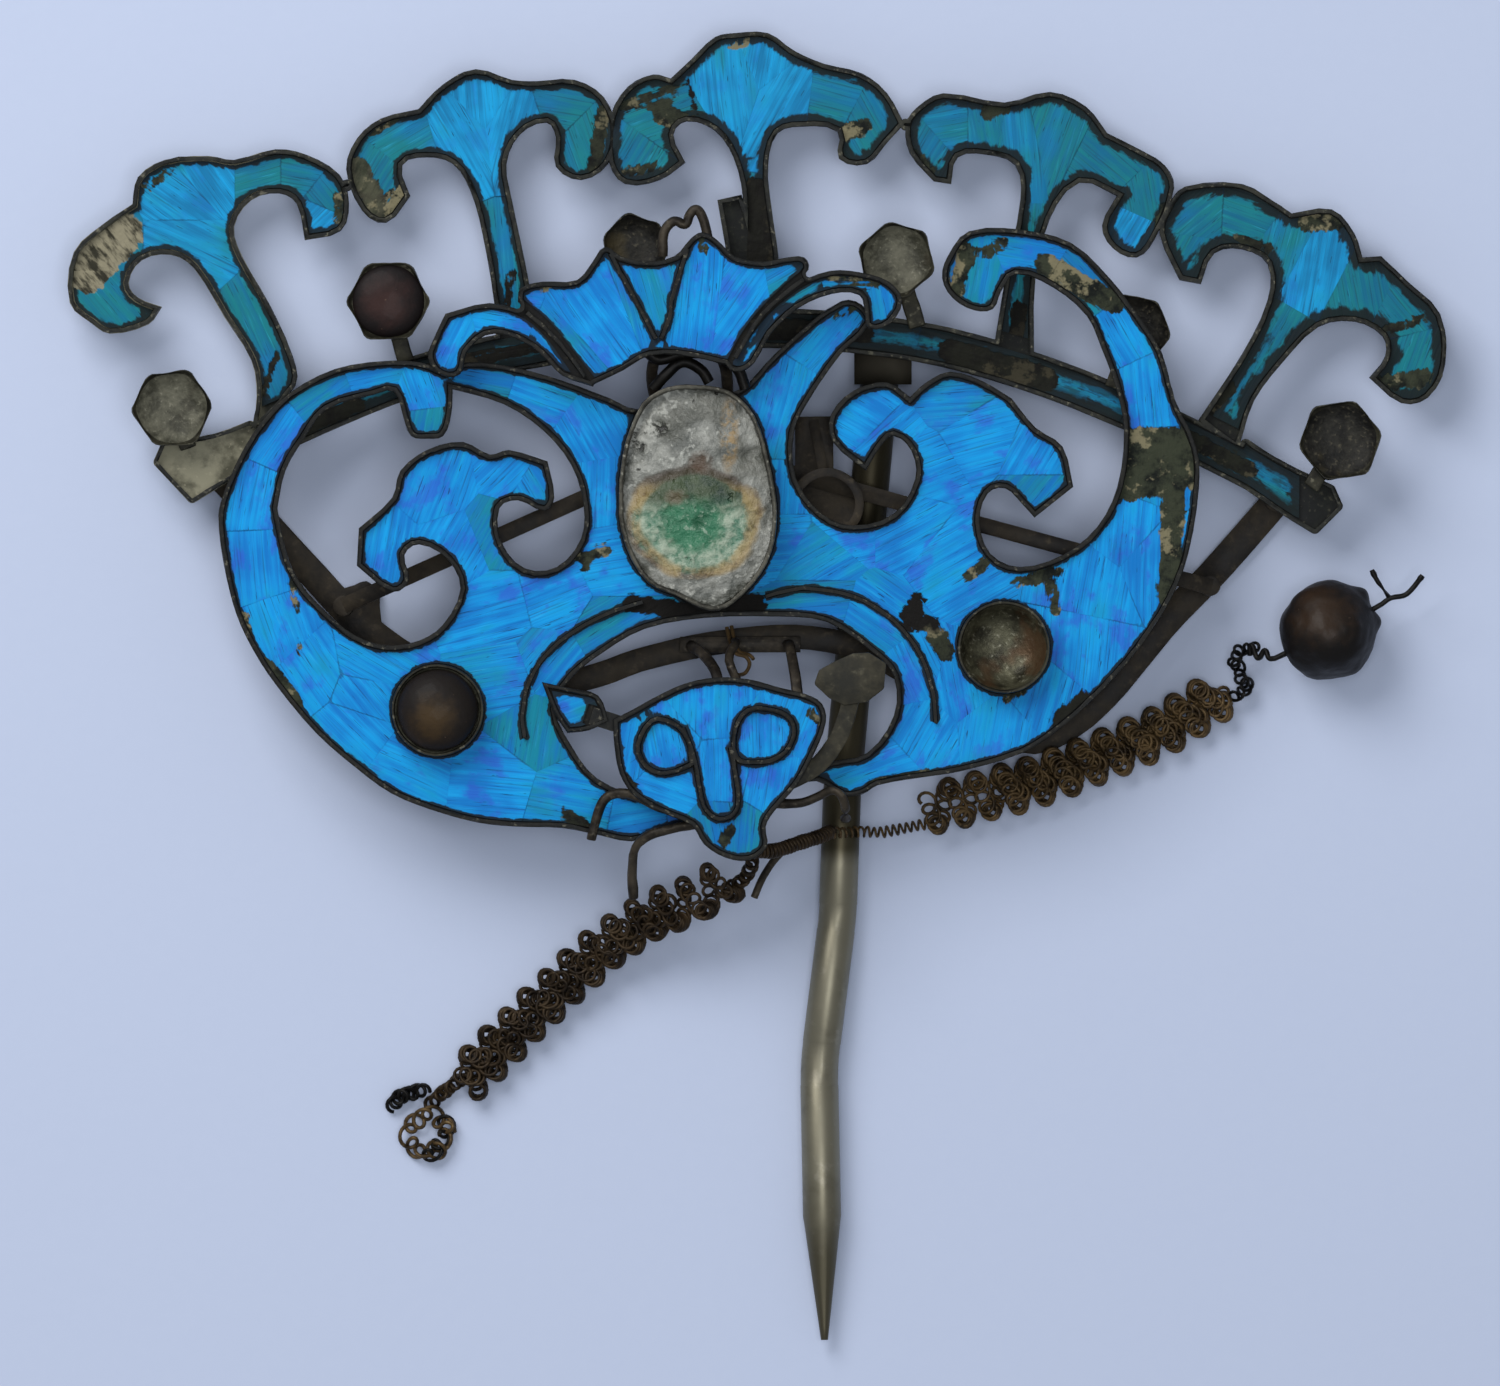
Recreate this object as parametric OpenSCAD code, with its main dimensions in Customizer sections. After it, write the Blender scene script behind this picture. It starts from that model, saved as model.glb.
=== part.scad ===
// Hair ornament with a fan of five heads, a bat plate and feelers of coiled wire.
// Millimetres. It lies on its back on z = 0 with the point of the shank toward -Y.
// Outlines are tables of [x, y] points joined by smooth curves; a third value 1 marks a corner.

/* [Shank] */
// radius of the round shank
shank_r = 1.43; // [0.8:0.01:3]
// length of the straight part above the point
shank_straight = 10.2; // [4:0.1:20]
// length of the point
point_len = 9.3; // [3:0.1:15]
// radius of the blunt tip
tip_r = 0.27; // [0.1:0.01:0.6]
// width of the flattened top end
shank_top_w = 4.3; // [3:0.1:6]

/* [Back frame] */
// thickness of the flat strips
strip_t = 0.9; // [0.5:0.1:1.5]
// width of the bow strips
strip_w = 2.2; // [1.5:0.1:4]
// width of the cross bar
bar_w = 1.2; // [0.8:0.1:2]
// radius of the posts that carry the front plate
post_r = 0.6; // [0.4:0.05:1]

/* [Levels] */
// underside of the fan frame
fan_z = 3.4; // [3:0.1:6]
// underside of the bat plate
bat_z = 7.6; // [5:0.1:12]
// underside of the head plate
head_z = 10.9; // [8:0.1:15]
// underside of the crown plate
crown_z = 10.4; // [8:0.1:15]

/* [Trays] */
// thickness of a tray's sheet
sheet_t = 0.35; // [0.2:0.05:0.8]
// height of the rim walls above the sheet
rim_h = 0.95; // [0.4:0.05:2]
// thickness of the rim walls
rim_w = 0.3; // [0.2:0.02:0.6]
// distance from the outline to the feather's edge
feather_in = 0.5; // [0.4:0.02:1]
// thickness of the feather layer
feather_t = 0.3; // [0.1:0.05:0.6]

/* [Settings] */
// height of the cups on the band
cup_h = 2.2; // [1:0.1:4]
// height of the oval bezel above the bat plate
bezel_h = 3.6; // [2:0.1:6]
// radius of the round cups on the wings
wing_cup_r = 3.45; // [2.5:0.05:4.5]

/* [Wires] */
// half width of the feelers
feeler_a = 2.05; // [1.5:0.05:3]
// half thickness of the feelers
feeler_b = 1.2; // [0.8:0.1:2]
// radius of the bead
bead_r = 3.85; // [2.5:0.05:5]

/* [Hidden] */
$fn = 48;
gap = 0.06;
shank_z = shank_r;
rim_in = 0.03;
brass = [0.42, 0.39, 0.28];
dark = [0.22, 0.20, 0.16];
azure = [0.13, 0.50, 0.84];
teal = [0.13, 0.52, 0.64];
paste = [0.50, 0.53, 0.48];
stone = [0.18, 0.09, 0.07];
coil = [0.36, 0.27, 0.18];

// Unit vector, and a turn of a vector by a quarter.
function unit(v) = v / max(norm(v), 1e-6);
function xy(p) = [p[0], p[1]];
function sharp(p) = len(p) > 2 && p[2] == 1;
// Point of a cubic from a to b with end slopes u and v.
function cubic(a, b, u, v, t) = a * (2*t*t*t - 3*t*t + 1) + u * (t*t*t - 2*t*t + t)
    + b * (3*t*t - 2*t*t*t) + v * (t*t*t - t*t);
// Slope at point i of a closed table, toward its neighbour on the given side.
function slope(p, i, chord, side) = let (n = len(p), q = p[i % n])
    sharp(q) ? chord * side : unit(xy(p[(i + 1) % n]) - xy(p[(i + n - 1) % n])) * norm(chord);
// Smooth closed curve through a table, n steps between points.
function closed(p, n = 3) = [for (i = [0:len(p) - 1]) let (
    a = xy(p[i]), b = xy(p[(i + 1) % len(p)]), c = b - a,
    u = sharp(p[i]) ? c : slope(p, i, c, 1),
    v = sharp(p[(i + 1) % len(p)]) ? c : slope(p, i + 1, c, 1))
    for (k = [0:n - 1]) cubic(a, b, u, v, k / n)];
// Smooth open curve in space through a list of points.
function open3(p, n = 4) = let (m = len(p) - 1) concat([for (i = [0:m - 1]) let (
    a = p[i], b = p[i + 1], l = norm(b - a),
    u = i == 0 ? b - a : unit(b - p[i - 1]) * l,
    v = i == m - 1 ? b - a : unit(p[i + 2] - a) * l)
    for (k = [0:n - 1]) cubic(a, b, u, v, k / n)], [p[m]]);
// Cross vectors of a sweep at point i, level one first.
function along(p, i) = unit(p[min(i + 1, len(p) - 1)] - p[max(i - 1, 0)]);
function side_of(t) = unit(abs(t[2]) > 0.96 ? cross(t, [0, 1, 0]) : cross(t, [0, 0, 1]));

// Tube along a path: half width a, half thickness b, s sides.
module tube(p, a, b, s = 8) {
    m = len(p);
    pts = [for (i = [0:m - 1]) let (t = along(p, i), u = side_of(t), w = cross(u, t))
        for (k = [0:s - 1]) p[i] + u * a * cos(360 * k / s) + w * b * sin(360 * k / s)];
    wall = [for (i = [0:m - 2]) for (k = [0:s - 1]) let (j = (k + 1) % s)
        [i * s + k, i * s + j, (i + 1) * s + j, (i + 1) * s + k]];
    ends = [[for (k = [s - 1:-1:0]) k], [for (k = [0:s - 1]) (m - 1) * s + k]];
    polyhedron(points = pts, faces = concat(wall, ends), convexity = 10);
}

// Flat stroke of width w along a list of points.
module stroke(p, w) {
    m = len(p) - 1;
    n = [for (i = [0:m]) let (d = unit(xy(p[min(i + 1, m)]) - xy(p[max(i - 1, 0)]))) [-d[1], d[0]]];
    polygon(concat([for (i = [0:m]) xy(p[i]) + n[i] * w / 2],
        [for (i = [m:-1:0]) xy(p[i]) - n[i] * w / 2]));
}

// Sheet with a rim wall round every edge of the outline given as its child.
module tray(z, h = rim_h) {
    translate([0, 0, z]) linear_extrude(sheet_t) offset(delta = 0.005) children();
    translate([0, 0, z + sheet_t - 0.1]) linear_extrude(h + 0.1) offset(delta = -0.005)
        difference() {
            offset(delta = -rim_in) children();
            offset(delta = -rim_in - rim_w) children();
        }
}

// Feather layer inside a tray's rim.
module feather(z, inset = feather_in) {
    translate([0, 0, z + sheet_t + gap]) linear_extrude(feather_t) offset(delta = -inset) children();
}

// Fan heads, each from the right of its stem round to the left.
head_1 = [
    [-34.6, 22.6], [-34.8, 24.8], [-36.6, 28.8], [-38.6, 32.3], [-39.2, 34.5], [-37.9, 36.5], [-35.8, 37.0],
    [-34.5, 36.2], [-33.9, 33.5, 1], [-31.2, 34.2], [-30.6, 36.3], [-31.3, 38.4], [-33.8, 39.9],
    [-36.1, 40.3], [-39.2, 39.5], [-41.1, 39.8], [-44.4, 39.5], [-46.4, 38.2], [-46.8, 36.2, 1],
    [-49.0, 34.7], [-51.2, 32.6], [-51.5, 28.8], [-49.9, 27.3], [-48.5, 26.5], [-45.6, 27.2],
    [-44.6, 28.5, 1], [-46.4, 29.2], [-47.1, 30.3], [-46.1, 32.0], [-43.9, 32.4], [-42.2, 31.4],
    [-39.9, 27.7], [-37.9, 24.5], [-37.5, 21.8], [-37.9, 19.0, 1]];
head_2 = [
    [-19.6, 26.0, 1], [-19.7, 28.7], [-20.6, 34.0], [-21.5, 37.2], [-22.8, 39.2], [-24.8, 39.7],
    [-26.6, 39.1], [-26.0, 36.8, 1], [-27.8, 34.8], [-29.6, 35.7], [-30.8, 38.8], [-30.0, 41.1],
    [-28.2, 42.6], [-25.4, 43.3, 1], [-23.5, 45.2], [-21.1, 46.3], [-18.4, 45.5], [-16.5, 45.4],
    [-13.7, 45.5], [-11.5, 44.2], [-10.6, 41.7], [-11.2, 39.2], [-13.2, 38.0], [-15.1, 39.0],
    [-15.1, 41.2], [-15.8, 42.3], [-17.8, 41.4], [-18.8, 39.2], [-18.4, 36.5], [-17.4, 31.8],
    [-16.4, 26.5, 1]];
head_3 = [
    [-1.6, 26.5, 1], [-1.2, 32.5], [-1.1, 36.7], [-1.8, 39.7], [-3.2, 41.7], [-5.3, 42.4], [-6.3, 41.4],
    [-5.4, 39.3, 1], [-7.3, 38.0], [-9.9, 37.7], [-11.1, 39.3], [-11.0, 42.8], [-9.7, 45.0],
    [-7.8, 45.9], [-6.5, 45.6, 1], [-5.0, 47.0], [-3.2, 48.7], [-1.7, 49.0], [0.8, 49.0], [2.7, 47.7],
    [5.0, 46.7], [7.8, 46.0], [9.7, 44.5], [11.0, 42.2, 1], [9.7, 40.8], [8.2, 39.2], [6.1, 39.6],
    [6.0, 41.6], [3.3, 42.0], [1.5, 41.5], [0.8, 39.2], [1.0, 36.2], [1.6, 32.0], [1.9, 26.5, 1]];
head_4 = [
    [20.7, 24.5, 1], [20.8, 30.5], [21.9, 35.1], [24.1, 37.8], [26.9, 36.8, 1], [25.8, 34.6],
    [26.6, 32.9], [28.4, 32.2], [29.7, 33.5], [31.2, 37.4], [30.5, 39.1], [28.2, 40.5], [26.2, 41.5, 1],
    [24.6, 43.5], [21.9, 44.6],
    [18.5, 43.8], [13.9, 44.5], [11.9, 43.4], [11.1, 42.1], [11.4, 40.0], [13.2, 37.9, 1], [14.5, 37.7, 1],
    [15.0, 39.7], [17.1, 39.9], [19.3, 39.1], [19.7, 36.6], [18.6, 31.0], [17.7, 25.5, 1]];
head_5 = [
    [36.0, 17.8, 1], [37.2, 21.5], [39.3, 24.3], [42.0, 27.0], [44.7, 27.4], [46.8, 26.3], [47.0, 24.8],
    [45.8, 23.2, 1], [48.2, 21.3], [50.2, 21.7], [51.5, 24.2], [51.1, 28.0], [48.8, 30.3], [46.7, 32.3, 1],
    [45.3, 32.2, 1], [44.7, 34.0], [43.0, 35.8], [40.0, 35.5, 1], [38.8, 36.3], [36.3, 37.7],
    [32.0, 37.5], [30.7, 36.0],
    [30.1, 34.0], [31.6, 30.5, 1], [33.2, 30.2, 1], [34.2, 32.5], [36.3, 32.8], [38.2, 31.7], [38.2, 29.0],
    [36.3, 25.0], [33.0, 20.0, 1]];
heads = [head_1, head_2, head_3, head_4, head_5];
// Arc band: middle line and width.
band_c = [[-43.4, 15.6], [-39.6, 17.3], [-33.0, 20.4], [-26.0, 23.2], [-18.0, 25.2], [-8.0, 26.6],
    [2.0, 26.9], [12.0, 25.9], [20.0, 23.8], [28.0, 20.7], [36.0, 16.8], [42.8, 13.2]];
band_w = 3.0;
band_end_l = [[-45.3, 16.8, 1], [-42.4, 13.7, 1], [-38.0, 16.4, 1], [-37.5, 20.2, 1], [-40.7, 19.0],
    [-44.6, 18.4, 1]];
band_end_r = [[35.0, 15.9, 1], [39.2, 13.0], [41.8, 11.4, 1], [43.9, 13.5, 1], [43.2, 15.1, 1],
    [39.2, 17.0], [36.4, 18.8, 1]];

module band_2d() {
    offset(r = 0.4) offset(delta = -0.4) union() {
        stroke(open3(band_c, 4), band_w);
        polygon(closed(band_end_l, 3));
        polygon(closed(band_end_r, 3));
    }
}

module head_2d(i) {
    polygon(closed(heads[i], 3));
}

module fan_2d() {
    band_2d();
    for (i = [0:4]) head_2d(i);
    // short strip beside the middle stem
    polygon([[-2.2, 27], [-0.6, 27], [-0.6, 35], [-1.2, 36.9], [-3.0, 36.5], [-2.4, 33]]);
    // solder between neighbouring tips
    translate([-30.75, 37.6]) circle(r = 0.45, $fn = 12);
    translate([-10.85, 41.4]) circle(r = 0.45, $fn = 12);
    translate([11.1, 42.15]) circle(r = 0.45, $fn = 12);
    translate([30.45, 36.0]) circle(r = 0.45, $fn = 12);
}

module fan_frame() {
    color(brass) tray(fan_z) fan_2d();
}

// Inlay of one head, stem included, down to the band's edge.
module fan_feather(i) {
    color(teal) feather(fan_z) difference() {
        head_2d(i);
        offset(delta = 0.35) band_2d();
    }
}

module band_feather() {
    color(teal) feather(fan_z) intersection() {
        band_2d();
        translate([-38, 10]) square([79, 22]);
    }
}

// Cups on the band: [x, y, radius, turn, x and y of the neck's end on the band].
cups = [
    [-43.8, 20.9, 3.05, 5, -42.6, 17.9],
    [-27.6, 28.9, 3.15, 0, -26.3, 24.4],
    [-9.2, 33.0, 2.50, 42, -9.0, 27.4],
    [10.4, 32.0, 2.90, 43, 12.0, 27.0],
    [28.1, 26.7, 2.80, 52, 26.6, 22.4],
    [43.6, 18.5, 3.15, 10, 41.4, 15.0]];

// A cup of six soft sides on a short neck.
module band_cup(i) {
    c = cups[i];
    color(dark) {
        translate([c[0], c[1], fan_z + sheet_t + rim_h + gap]) difference() {
            linear_extrude(cup_h) offset(r = 0.5) offset(delta = -0.5)
                rotate(c[3]) circle(r = c[2] + 0.1, $fn = 6);
            translate([0, 0, 0.4]) cylinder(r = c[2] - 0.85, h = cup_h);
        }
        // neck from the cup down beside the rim to the band's sheet
        translate([0, 0, fan_z + sheet_t + rim_h + gap]) linear_extrude(0.4)
            stroke([[c[0], c[1]], [(c[0] + c[4]) / 2, (c[1] + c[5]) / 2], [c[4], c[5]]], 1.7);
    }
}

// Bat plate: outer edge, from the left arm over the left wing, along the bottom and up the right.
bat_edge = [
    [-9.0, 20.8], [-11.0, 21.6], [-14.5, 22.9], [-18.5, 24.0], [-21.8, 24.3], [-23.4, 23.6, 1],
    [-25.2, 24.3],
    [-27.9, 24.4], [-31.6, 23.8], [-35.0, 22.0], [-37.2, 19.7], [-38.8, 17.1], [-40.0, 14.2], [-40.3, 12.8],
    [-39.95, 9.5], [-39.0, 5.6], [-37.7, 2.8], [-36.0, 0.2], [-33.0, -3.4], [-29.9, -6.1], [-27.4, -7.9],
    [-24.5, -9.1], [-20.9, -10.1], [-18.0, -10.4], [-14.6, -10.5], [-12.0, -11.0], [-9.4, -11.5],
    [-7.3, -10.8], [-5.2, -10.3], [-2.0, -9.4], [1.5, -7.7], [4.4, -7.0], [6.4, -8.1], [7.8, -8.0],
    [9.0, -7.3], [12.4, -6.7], [15.0, -6.3], [19.8, -4.9], [22.6, -3.1], [26.0, 0.0], [28.5, 2.9],
    [30.9, 6.6], [32.2, 10.0], [33.0, 15.0], [32.8, 18.0], [31.2, 21.5], [30.2, 25.1], [28.4, 27.9],
    [26.4, 30.5], [23.5, 33.2], [19.8, 34.2], [15.8, 34.1], [14.2, 32.2], [13.8, 30.6], [14.6, 29.1],
    [16.2, 28.2], [17.6, 28.3], [18.2, 29.6], [19.3, 30.9], [22.1, 29.9], [24.6, 27.8], [25.7, 25.4],
    [26.8, 22.4], [27.4, 19.2], [26.9, 15.0], [25.4, 12.0], [22.8, 9.9], [19.6, 9.0], [17.4, 10.0],
    [16.6, 12.4], [17.2, 14.5], [18.5, 14.9], [19.8, 13.7], [20.7, 12.7, 1], [23.6, 15.0, 1],
    [22.8, 18.0],
    [20.8, 19.4], [19.0, 21.6, 1], [16.8, 22.9], [14.4, 23.6], [12.6, 22.8], [11.4, 21.7, 1], [9.7, 22.8],
    [7.2, 22.2], [5.5, 20.4], [5.6, 18.4], [8.1, 16.2, 1], [9.2, 18.0], [10.2, 18.8], [11.5, 17.7],
    [11.8, 15.6],
    [10.2, 13.0], [7.2, 12.1], [4.8, 13.0], [2.9, 15.6], [2.7, 19.0], [3.8, 21.4], [6.2, 24.9],
    [8.4, 27.2], [7.8, 28.6], [6.3, 28.9], [3.0, 26.5], [0.6, 24.2], [-1.5, 22.2]];
// The opening inside the left wing, round its cloud scroll.
bat_hole_l = [
    [-27.2, 22.1], [-28.8, 21.85], [-32.2, 20.8], [-33.9, 18.6], [-35.3, 16.2], [-35.9, 13.4, 1],
    [-35.3, 10.5], [-34.3, 8.0], [-32.2, 5.6], [-30.1, 3.9], [-27.7, 3.15], [-25.3, 3.5], [-23.5, 4.7],
    [-22.2, 7.4], [-23.2, 9.6], [-25.3, 10.7], [-26.4, 9.9], [-26.05, 8.0], [-27.3, 7.15], [-29.95, 9.1, 1],
    [-29.8, 11.9, 1], [-27.3, 14.2], [-26.7, 16.2], [-24.6, 17.8], [-22.0, 18.35], [-20.0, 17.4],
    [-18.6, 17.75],
    [-15.7, 16.9, 1], [-15.2, 14.2], [-15.9, 13.2], [-17.9, 14.0], [-19.3, 13.4], [-19.1, 10.8],
    [-17.4, 8.9],
    [-15.0, 9.0], [-13.2, 11.1], [-13.0, 13.6], [-13.9, 16.6], [-16.0, 19.2], [-19.0, 21.2],
    [-22.8, 22.3, 1],
    [-22.9, 20.4], [-23.5, 18.8], [-24.7, 18.6], [-25.9, 18.8], [-26.5, 20.3]];
// The opening behind the head.
bat_hole_c = [
    [-13.9, 0.7], [-11.6, 2.6], [-8.4, 4.4], [-4.0, 5.2], [1.5, 5.3], [5.2, 4.9], [8.6, 2.6], [10.2, 0.8],
    [10.2, -2.1], [8.2, -4.9], [5.6, -5.5], [2.0, -6.6], [-3.0, -8.0], [-8.6, -8.1], [-12.0, -6.8],
    [-13.9, -4.4],
    [-15.1, -1.6]];
// Raised lines round that opening.
arc_l = [[-17.4, -3.8], [-17.6, -2.2], [-17.0, 0.6], [-15.4, 2.9], [-12.9, 4.7], [-10.5, 5.8],
    [-8.6, 6.4]];
arc_r = [[0.6, 6.8], [3.4, 7.4], [7.2, 6.8], [10.2, 5.0], [12.2, 2.4], [13.1, -0.4], [13.3, -2.6]];
// Oval bezel.
oval = [
    [-4.6, 22.6], [-2.0, 22.1], [-0.2, 20.3], [0.85, 17.0], [1.45, 13.6], [1.3, 11.0], [0.3, 8.5],
    [-1.8, 6.3], [-3.5, 5.7], [-6.0, 6.8], [-8.2, 7.8], [-9.9, 10.6], [-10.4, 14.0], [-9.9, 18.2],
    [-8.6, 21.2], [-6.8, 22.4]];
cup_left = [-23.9, -1.7];
cup_right = [18.4, 3.0];

module bat_2d() {
    difference() {
        polygon(closed(bat_edge, 3));
        polygon(closed(bat_hole_l, 3));
        polygon(closed(bat_hole_c, 3));
    }
}

module line_3d(p, z, h, w = 0.26) {
    translate([0, 0, z]) linear_extrude(h) stroke(open3(p, 4), w);
}

module bat_plate() {
    color(brass) {
        translate([0, 0, bat_z]) linear_extrude(sheet_t) offset(delta = 0.005) bat_2d();
        // rim walls, left out where the oval bezel crosses them
        translate([0, 0, bat_z + sheet_t - 0.1]) linear_extrude(rim_h + 0.1) offset(delta = -0.005)
            difference() {
                offset(delta = -rim_in) bat_2d();
                offset(delta = -rim_in - rim_w) bat_2d();
                offset(delta = 0.1) polygon(closed(oval, 3));
            }
        line_3d(arc_l, bat_z + sheet_t - 0.1, rim_h);
        line_3d(arc_r, bat_z + sheet_t - 0.1, rim_h);
    }
}

// What the feather layer leaves free: the bezel, the cups and the raised lines.
module bat_keep_out() {
    offset(delta = 0.15) polygon(closed(oval, 3));
    translate(cup_left) circle(r = wing_cup_r + 0.15);
    translate(cup_right) circle(r = wing_cup_r + 0.15);
    stroke(open3(arc_l, 4), 0.5);
    stroke(open3(arc_r, 4), 0.5);
}

// Feather layer of the plate between two x values.
module bat_feather(x0, x1) {
    color(azure) translate([0, 0, bat_z + sheet_t + gap]) linear_extrude(feather_t) offset(delta = -0.01)
        difference() {
            intersection() {
                offset(delta = -feather_in) bat_2d();
                translate([x0, -15]) square([x1 - x0, 52]);
            }
            bat_keep_out();
        }
}

module bat_feather_left() {
    bat_feather(-42, -4.55);
}

module bat_feather_right() {
    bat_feather(-4.45, 34);
}

// Oval bezel: a wall with a floor, standing on the plate.
module oval_bezel() {
    color([0.48, 0.47, 0.43]) translate([0, 0, bat_z + sheet_t + gap]) {
        linear_extrude(bezel_h - 1.2) offset(delta = -0.12) polygon(closed(oval, 3));
        linear_extrude(bezel_h) offset(delta = -0.01) difference() {
            polygon(closed(oval, 3));
            offset(delta = -0.34) polygon(closed(oval, 3));
        }
    }
}

// Low crust inside the bezel, higher in the middle.
module bezel_paste() {
    z = bat_z + sheet_t + 2 * gap + bezel_h - 1.2;
    color(paste) for (k = [0:2])
        translate([0, 0, z + k * 0.32]) linear_extrude(0.34)
            offset(delta = -0.45 - 0.75 * k) polygon(closed(oval, 3));
}

// Round cup on a wing: wall and floor, turned.
module wing_cup(c) {
    color(brass) translate([c[0], c[1], bat_z + sheet_t + gap]) rotate_extrude()
        polygon([[0, 0], [wing_cup_r - 0.3, 0], [wing_cup_r, 2.4], [wing_cup_r - 0.28, 2.4],
            [wing_cup_r - 0.75, 1.3], [wing_cup_r - 1.6, 0.6], [0, 0.4]]);
}

module wing_cup_left() {
    wing_cup(cup_left);
}

module wing_cup_right() {
    wing_cup(cup_right);
}

// Round cabochon in a cup: a ball's cap over a short neck.
module wing_stone() {
    color(stone) translate([cup_left[0], cup_left[1], bat_z + sheet_t + 1.45 + gap]) rotate_extrude()
        polygon([[0, 0], [wing_cup_r - 0.75, 0], [wing_cup_r - 0.42, 0.7],
            for (a = [10:10:90]) [(wing_cup_r - 0.42) * cos(a), 0.7 + 1.7 * sin(a)]]);
}

module fan_stone() {
    c = cups[1];
    r = c[2] - 0.95;
    color(stone) translate([c[0], c[1], fan_z + sheet_t + rim_h + 0.4 + 2 * gap]) rotate_extrude()
        polygon([[0, 0], [r, 0], [r, 1.5], for (a = [10:10:90]) [r * cos(a), 1.5 + 1.3 * sin(a)]]);
}

// Crown: the scalloped middle, then the left and the right volute.
crown_mid = [
    [-12.3, 22.6, 1], [-14.0, 24.8], [-15.8, 27.0], [-17.9, 28.8, 1], [-17.7, 29.8], [-16.0, 30.3],
    [-13.5, 30.4], [-12.3, 31.8], [-11.4, 32.9], [-10.2, 32.2], [-8.4, 31.8], [-6.2, 32.2],
    [-5.0, 33.5], [-4.1, 34.0], [-3.0, 33.4],
    [-1.7, 32.2], [0.4, 31.8], [2.2, 32.1], [3.5, 32.1], [3.8, 31.2], [2.4, 29.9], [0.4, 27.9],
    [-1.0, 26.0],
    [-2.0, 24.0, 1], [-5.0, 24.7], [-8.0, 24.8], [-10.0, 23.7]];
crown_left = [
    [-12.4, 22.5, 1], [-13.8, 24.1], [-15.4, 26.3], [-17.2, 27.9], [-20.0, 28.7], [-23.3, 27.9, 1],
    [-24.1, 26.2], [-24.6, 24.6],
    [-23.6, 23.3], [-22.2, 23.4], [-21.7, 25.0], [-20.3, 26.3], [-18.4, 26.2], [-16.3, 25.0],
    [-14.6, 23.3]];
crown_right = [
    [-2.3, 24.0], [-1.6, 25.4], [0.4, 28.0], [2.9, 30.1], [5.4, 31.1], [7.6, 31.0], [9.8, 30.3],
    [10.8, 28.9], [9.9, 27.2], [8.3, 26.8], [8.0, 28.1], [7.6, 29.3], [5.6, 29.4], [3.0, 28.3],
    [1.0, 26.4], [-0.2, 24.3], [-1.2, 23.6]];
// Ribs of the middle: [foot, ..., top].
ribs = [
    [[-7.6, 26.0], [-8.6, 28.0], [-10.0, 30.6], [-11.0, 32.4]],
    [[-7.2, 26.0], [-6.6, 27.6], [-6.3, 29.4], [-5.2, 32.8]]];

// Walls between the middle and the volutes.
seams = [
    [[-12.9, 23.2], [-15.4, 26.4], [-17.2, 28.0]],
    [[-1.7, 24.6], [0.4, 27.9], [3.4, 30.5]]];

// Radius of the solder in the notches.
notch_r = 0.25;

// The three as one outline, with solder in the sharp notches between them.
module crown_2d() {
    offset(r = -notch_r, $fn = 24) offset(delta = notch_r) {
        polygon(closed(crown_mid, 3));
        polygon(closed(crown_left, 3));
        polygon(closed(crown_right, 3));
    }
}

module crown_plate() {
    color(brass) {
        tray(crown_z, 0.85) crown_2d();
        for (r = seams) line_3d(r, crown_z + sheet_t - 0.1, 0.95, 0.3);
        for (r = ribs) line_3d(r, crown_z + sheet_t - 0.1, 0.95, 0.3);
    }
}

module crown_feathers() {
    color(azure) translate([0, 0, crown_z + sheet_t + gap]) linear_extrude(feather_t) offset(delta = -0.01)
        difference() {
            intersection() {
                union() {
                    offset(delta = -feather_in) polygon(closed(crown_mid, 3));
                    offset(delta = -feather_in) polygon(closed(crown_left, 3));
                    offset(delta = -feather_in) polygon(closed(crown_right, 3));
                }
                offset(delta = -feather_in) crown_2d();
            }
            for (r = ribs) stroke(open3(r, 4), 0.5);
            for (r = seams) stroke(open3(r, 4), 0.5);
        }
}

// Head plate, ear plate and the bare disc of the other ear.
ear_z = head_z - 0.75;
head_edge = [
    [-10.8, -2.4, 1], [-9.4, -1.7], [-7.6, -0.7], [-5.4, 0.3], [-3.0, 0.75], [-0.6, 0.6], [1.6, 0.0],
    [3.6, -0.5], [4.8, -1.2],
    [5.1, -2.6], [4.2, -5.0], [3.0, -7.2], [1.2, -9.3], [0.6, -10.4], [0.7, -11.9], [-0.6, -12.9],
    [-2.4, -12.7],
    [-4.0, -11.7], [-4.9, -10.3], [-7.0, -9.4], [-9.2, -8.1], [-10.3, -6.4], [-10.7, -4.2]];
ear_edge = [
    [-16.1, 0.4, 1], [-13.8, -0.1], [-11.9, -0.6], [-11.1, -2.5, 1], [-12.6, -3.2], [-14.2, -3.4, 1],
    [-15.2, -1.9]];
disc_edge = [
    [5.9, 2.0, 1], [7.2, 2.6, 1], [8.3, 2.6, 1], [9.6, 1.8, 1], [9.4, -0.1, 1], [8.2, -1.1, 1],
    [6.5, -1.3, 1], [5.3, -0.8, 1], [4.2, 0.3, 1], [4.6, 1.3, 1]];
eye_l = [[-7.9, -2.5], [-6.4, -2.6], [-5.2, -3.9], [-4.9, -5.7, 1], [-6.8, -6.4], [-8.3, -5.9],
    [-8.9, -4.3]];
eye_r = [[-1.6, -3.0], [-0.7, -1.7], [1.2, -1.7], [2.5, -2.4], [2.7, -3.7], [1.6, -5.2], [-0.4, -5.6],
    [-1.6, -5.2]];
nose = [[-5.6, -3.0], [-4.8, -5.0], [-4.4, -7.0], [-4.0, -8.8], [-3.2, -9.7], [-2.1, -9.7], [-1.5, -8.9],
    [-1.6, -6.8], [-2.0, -4.4]];

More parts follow.
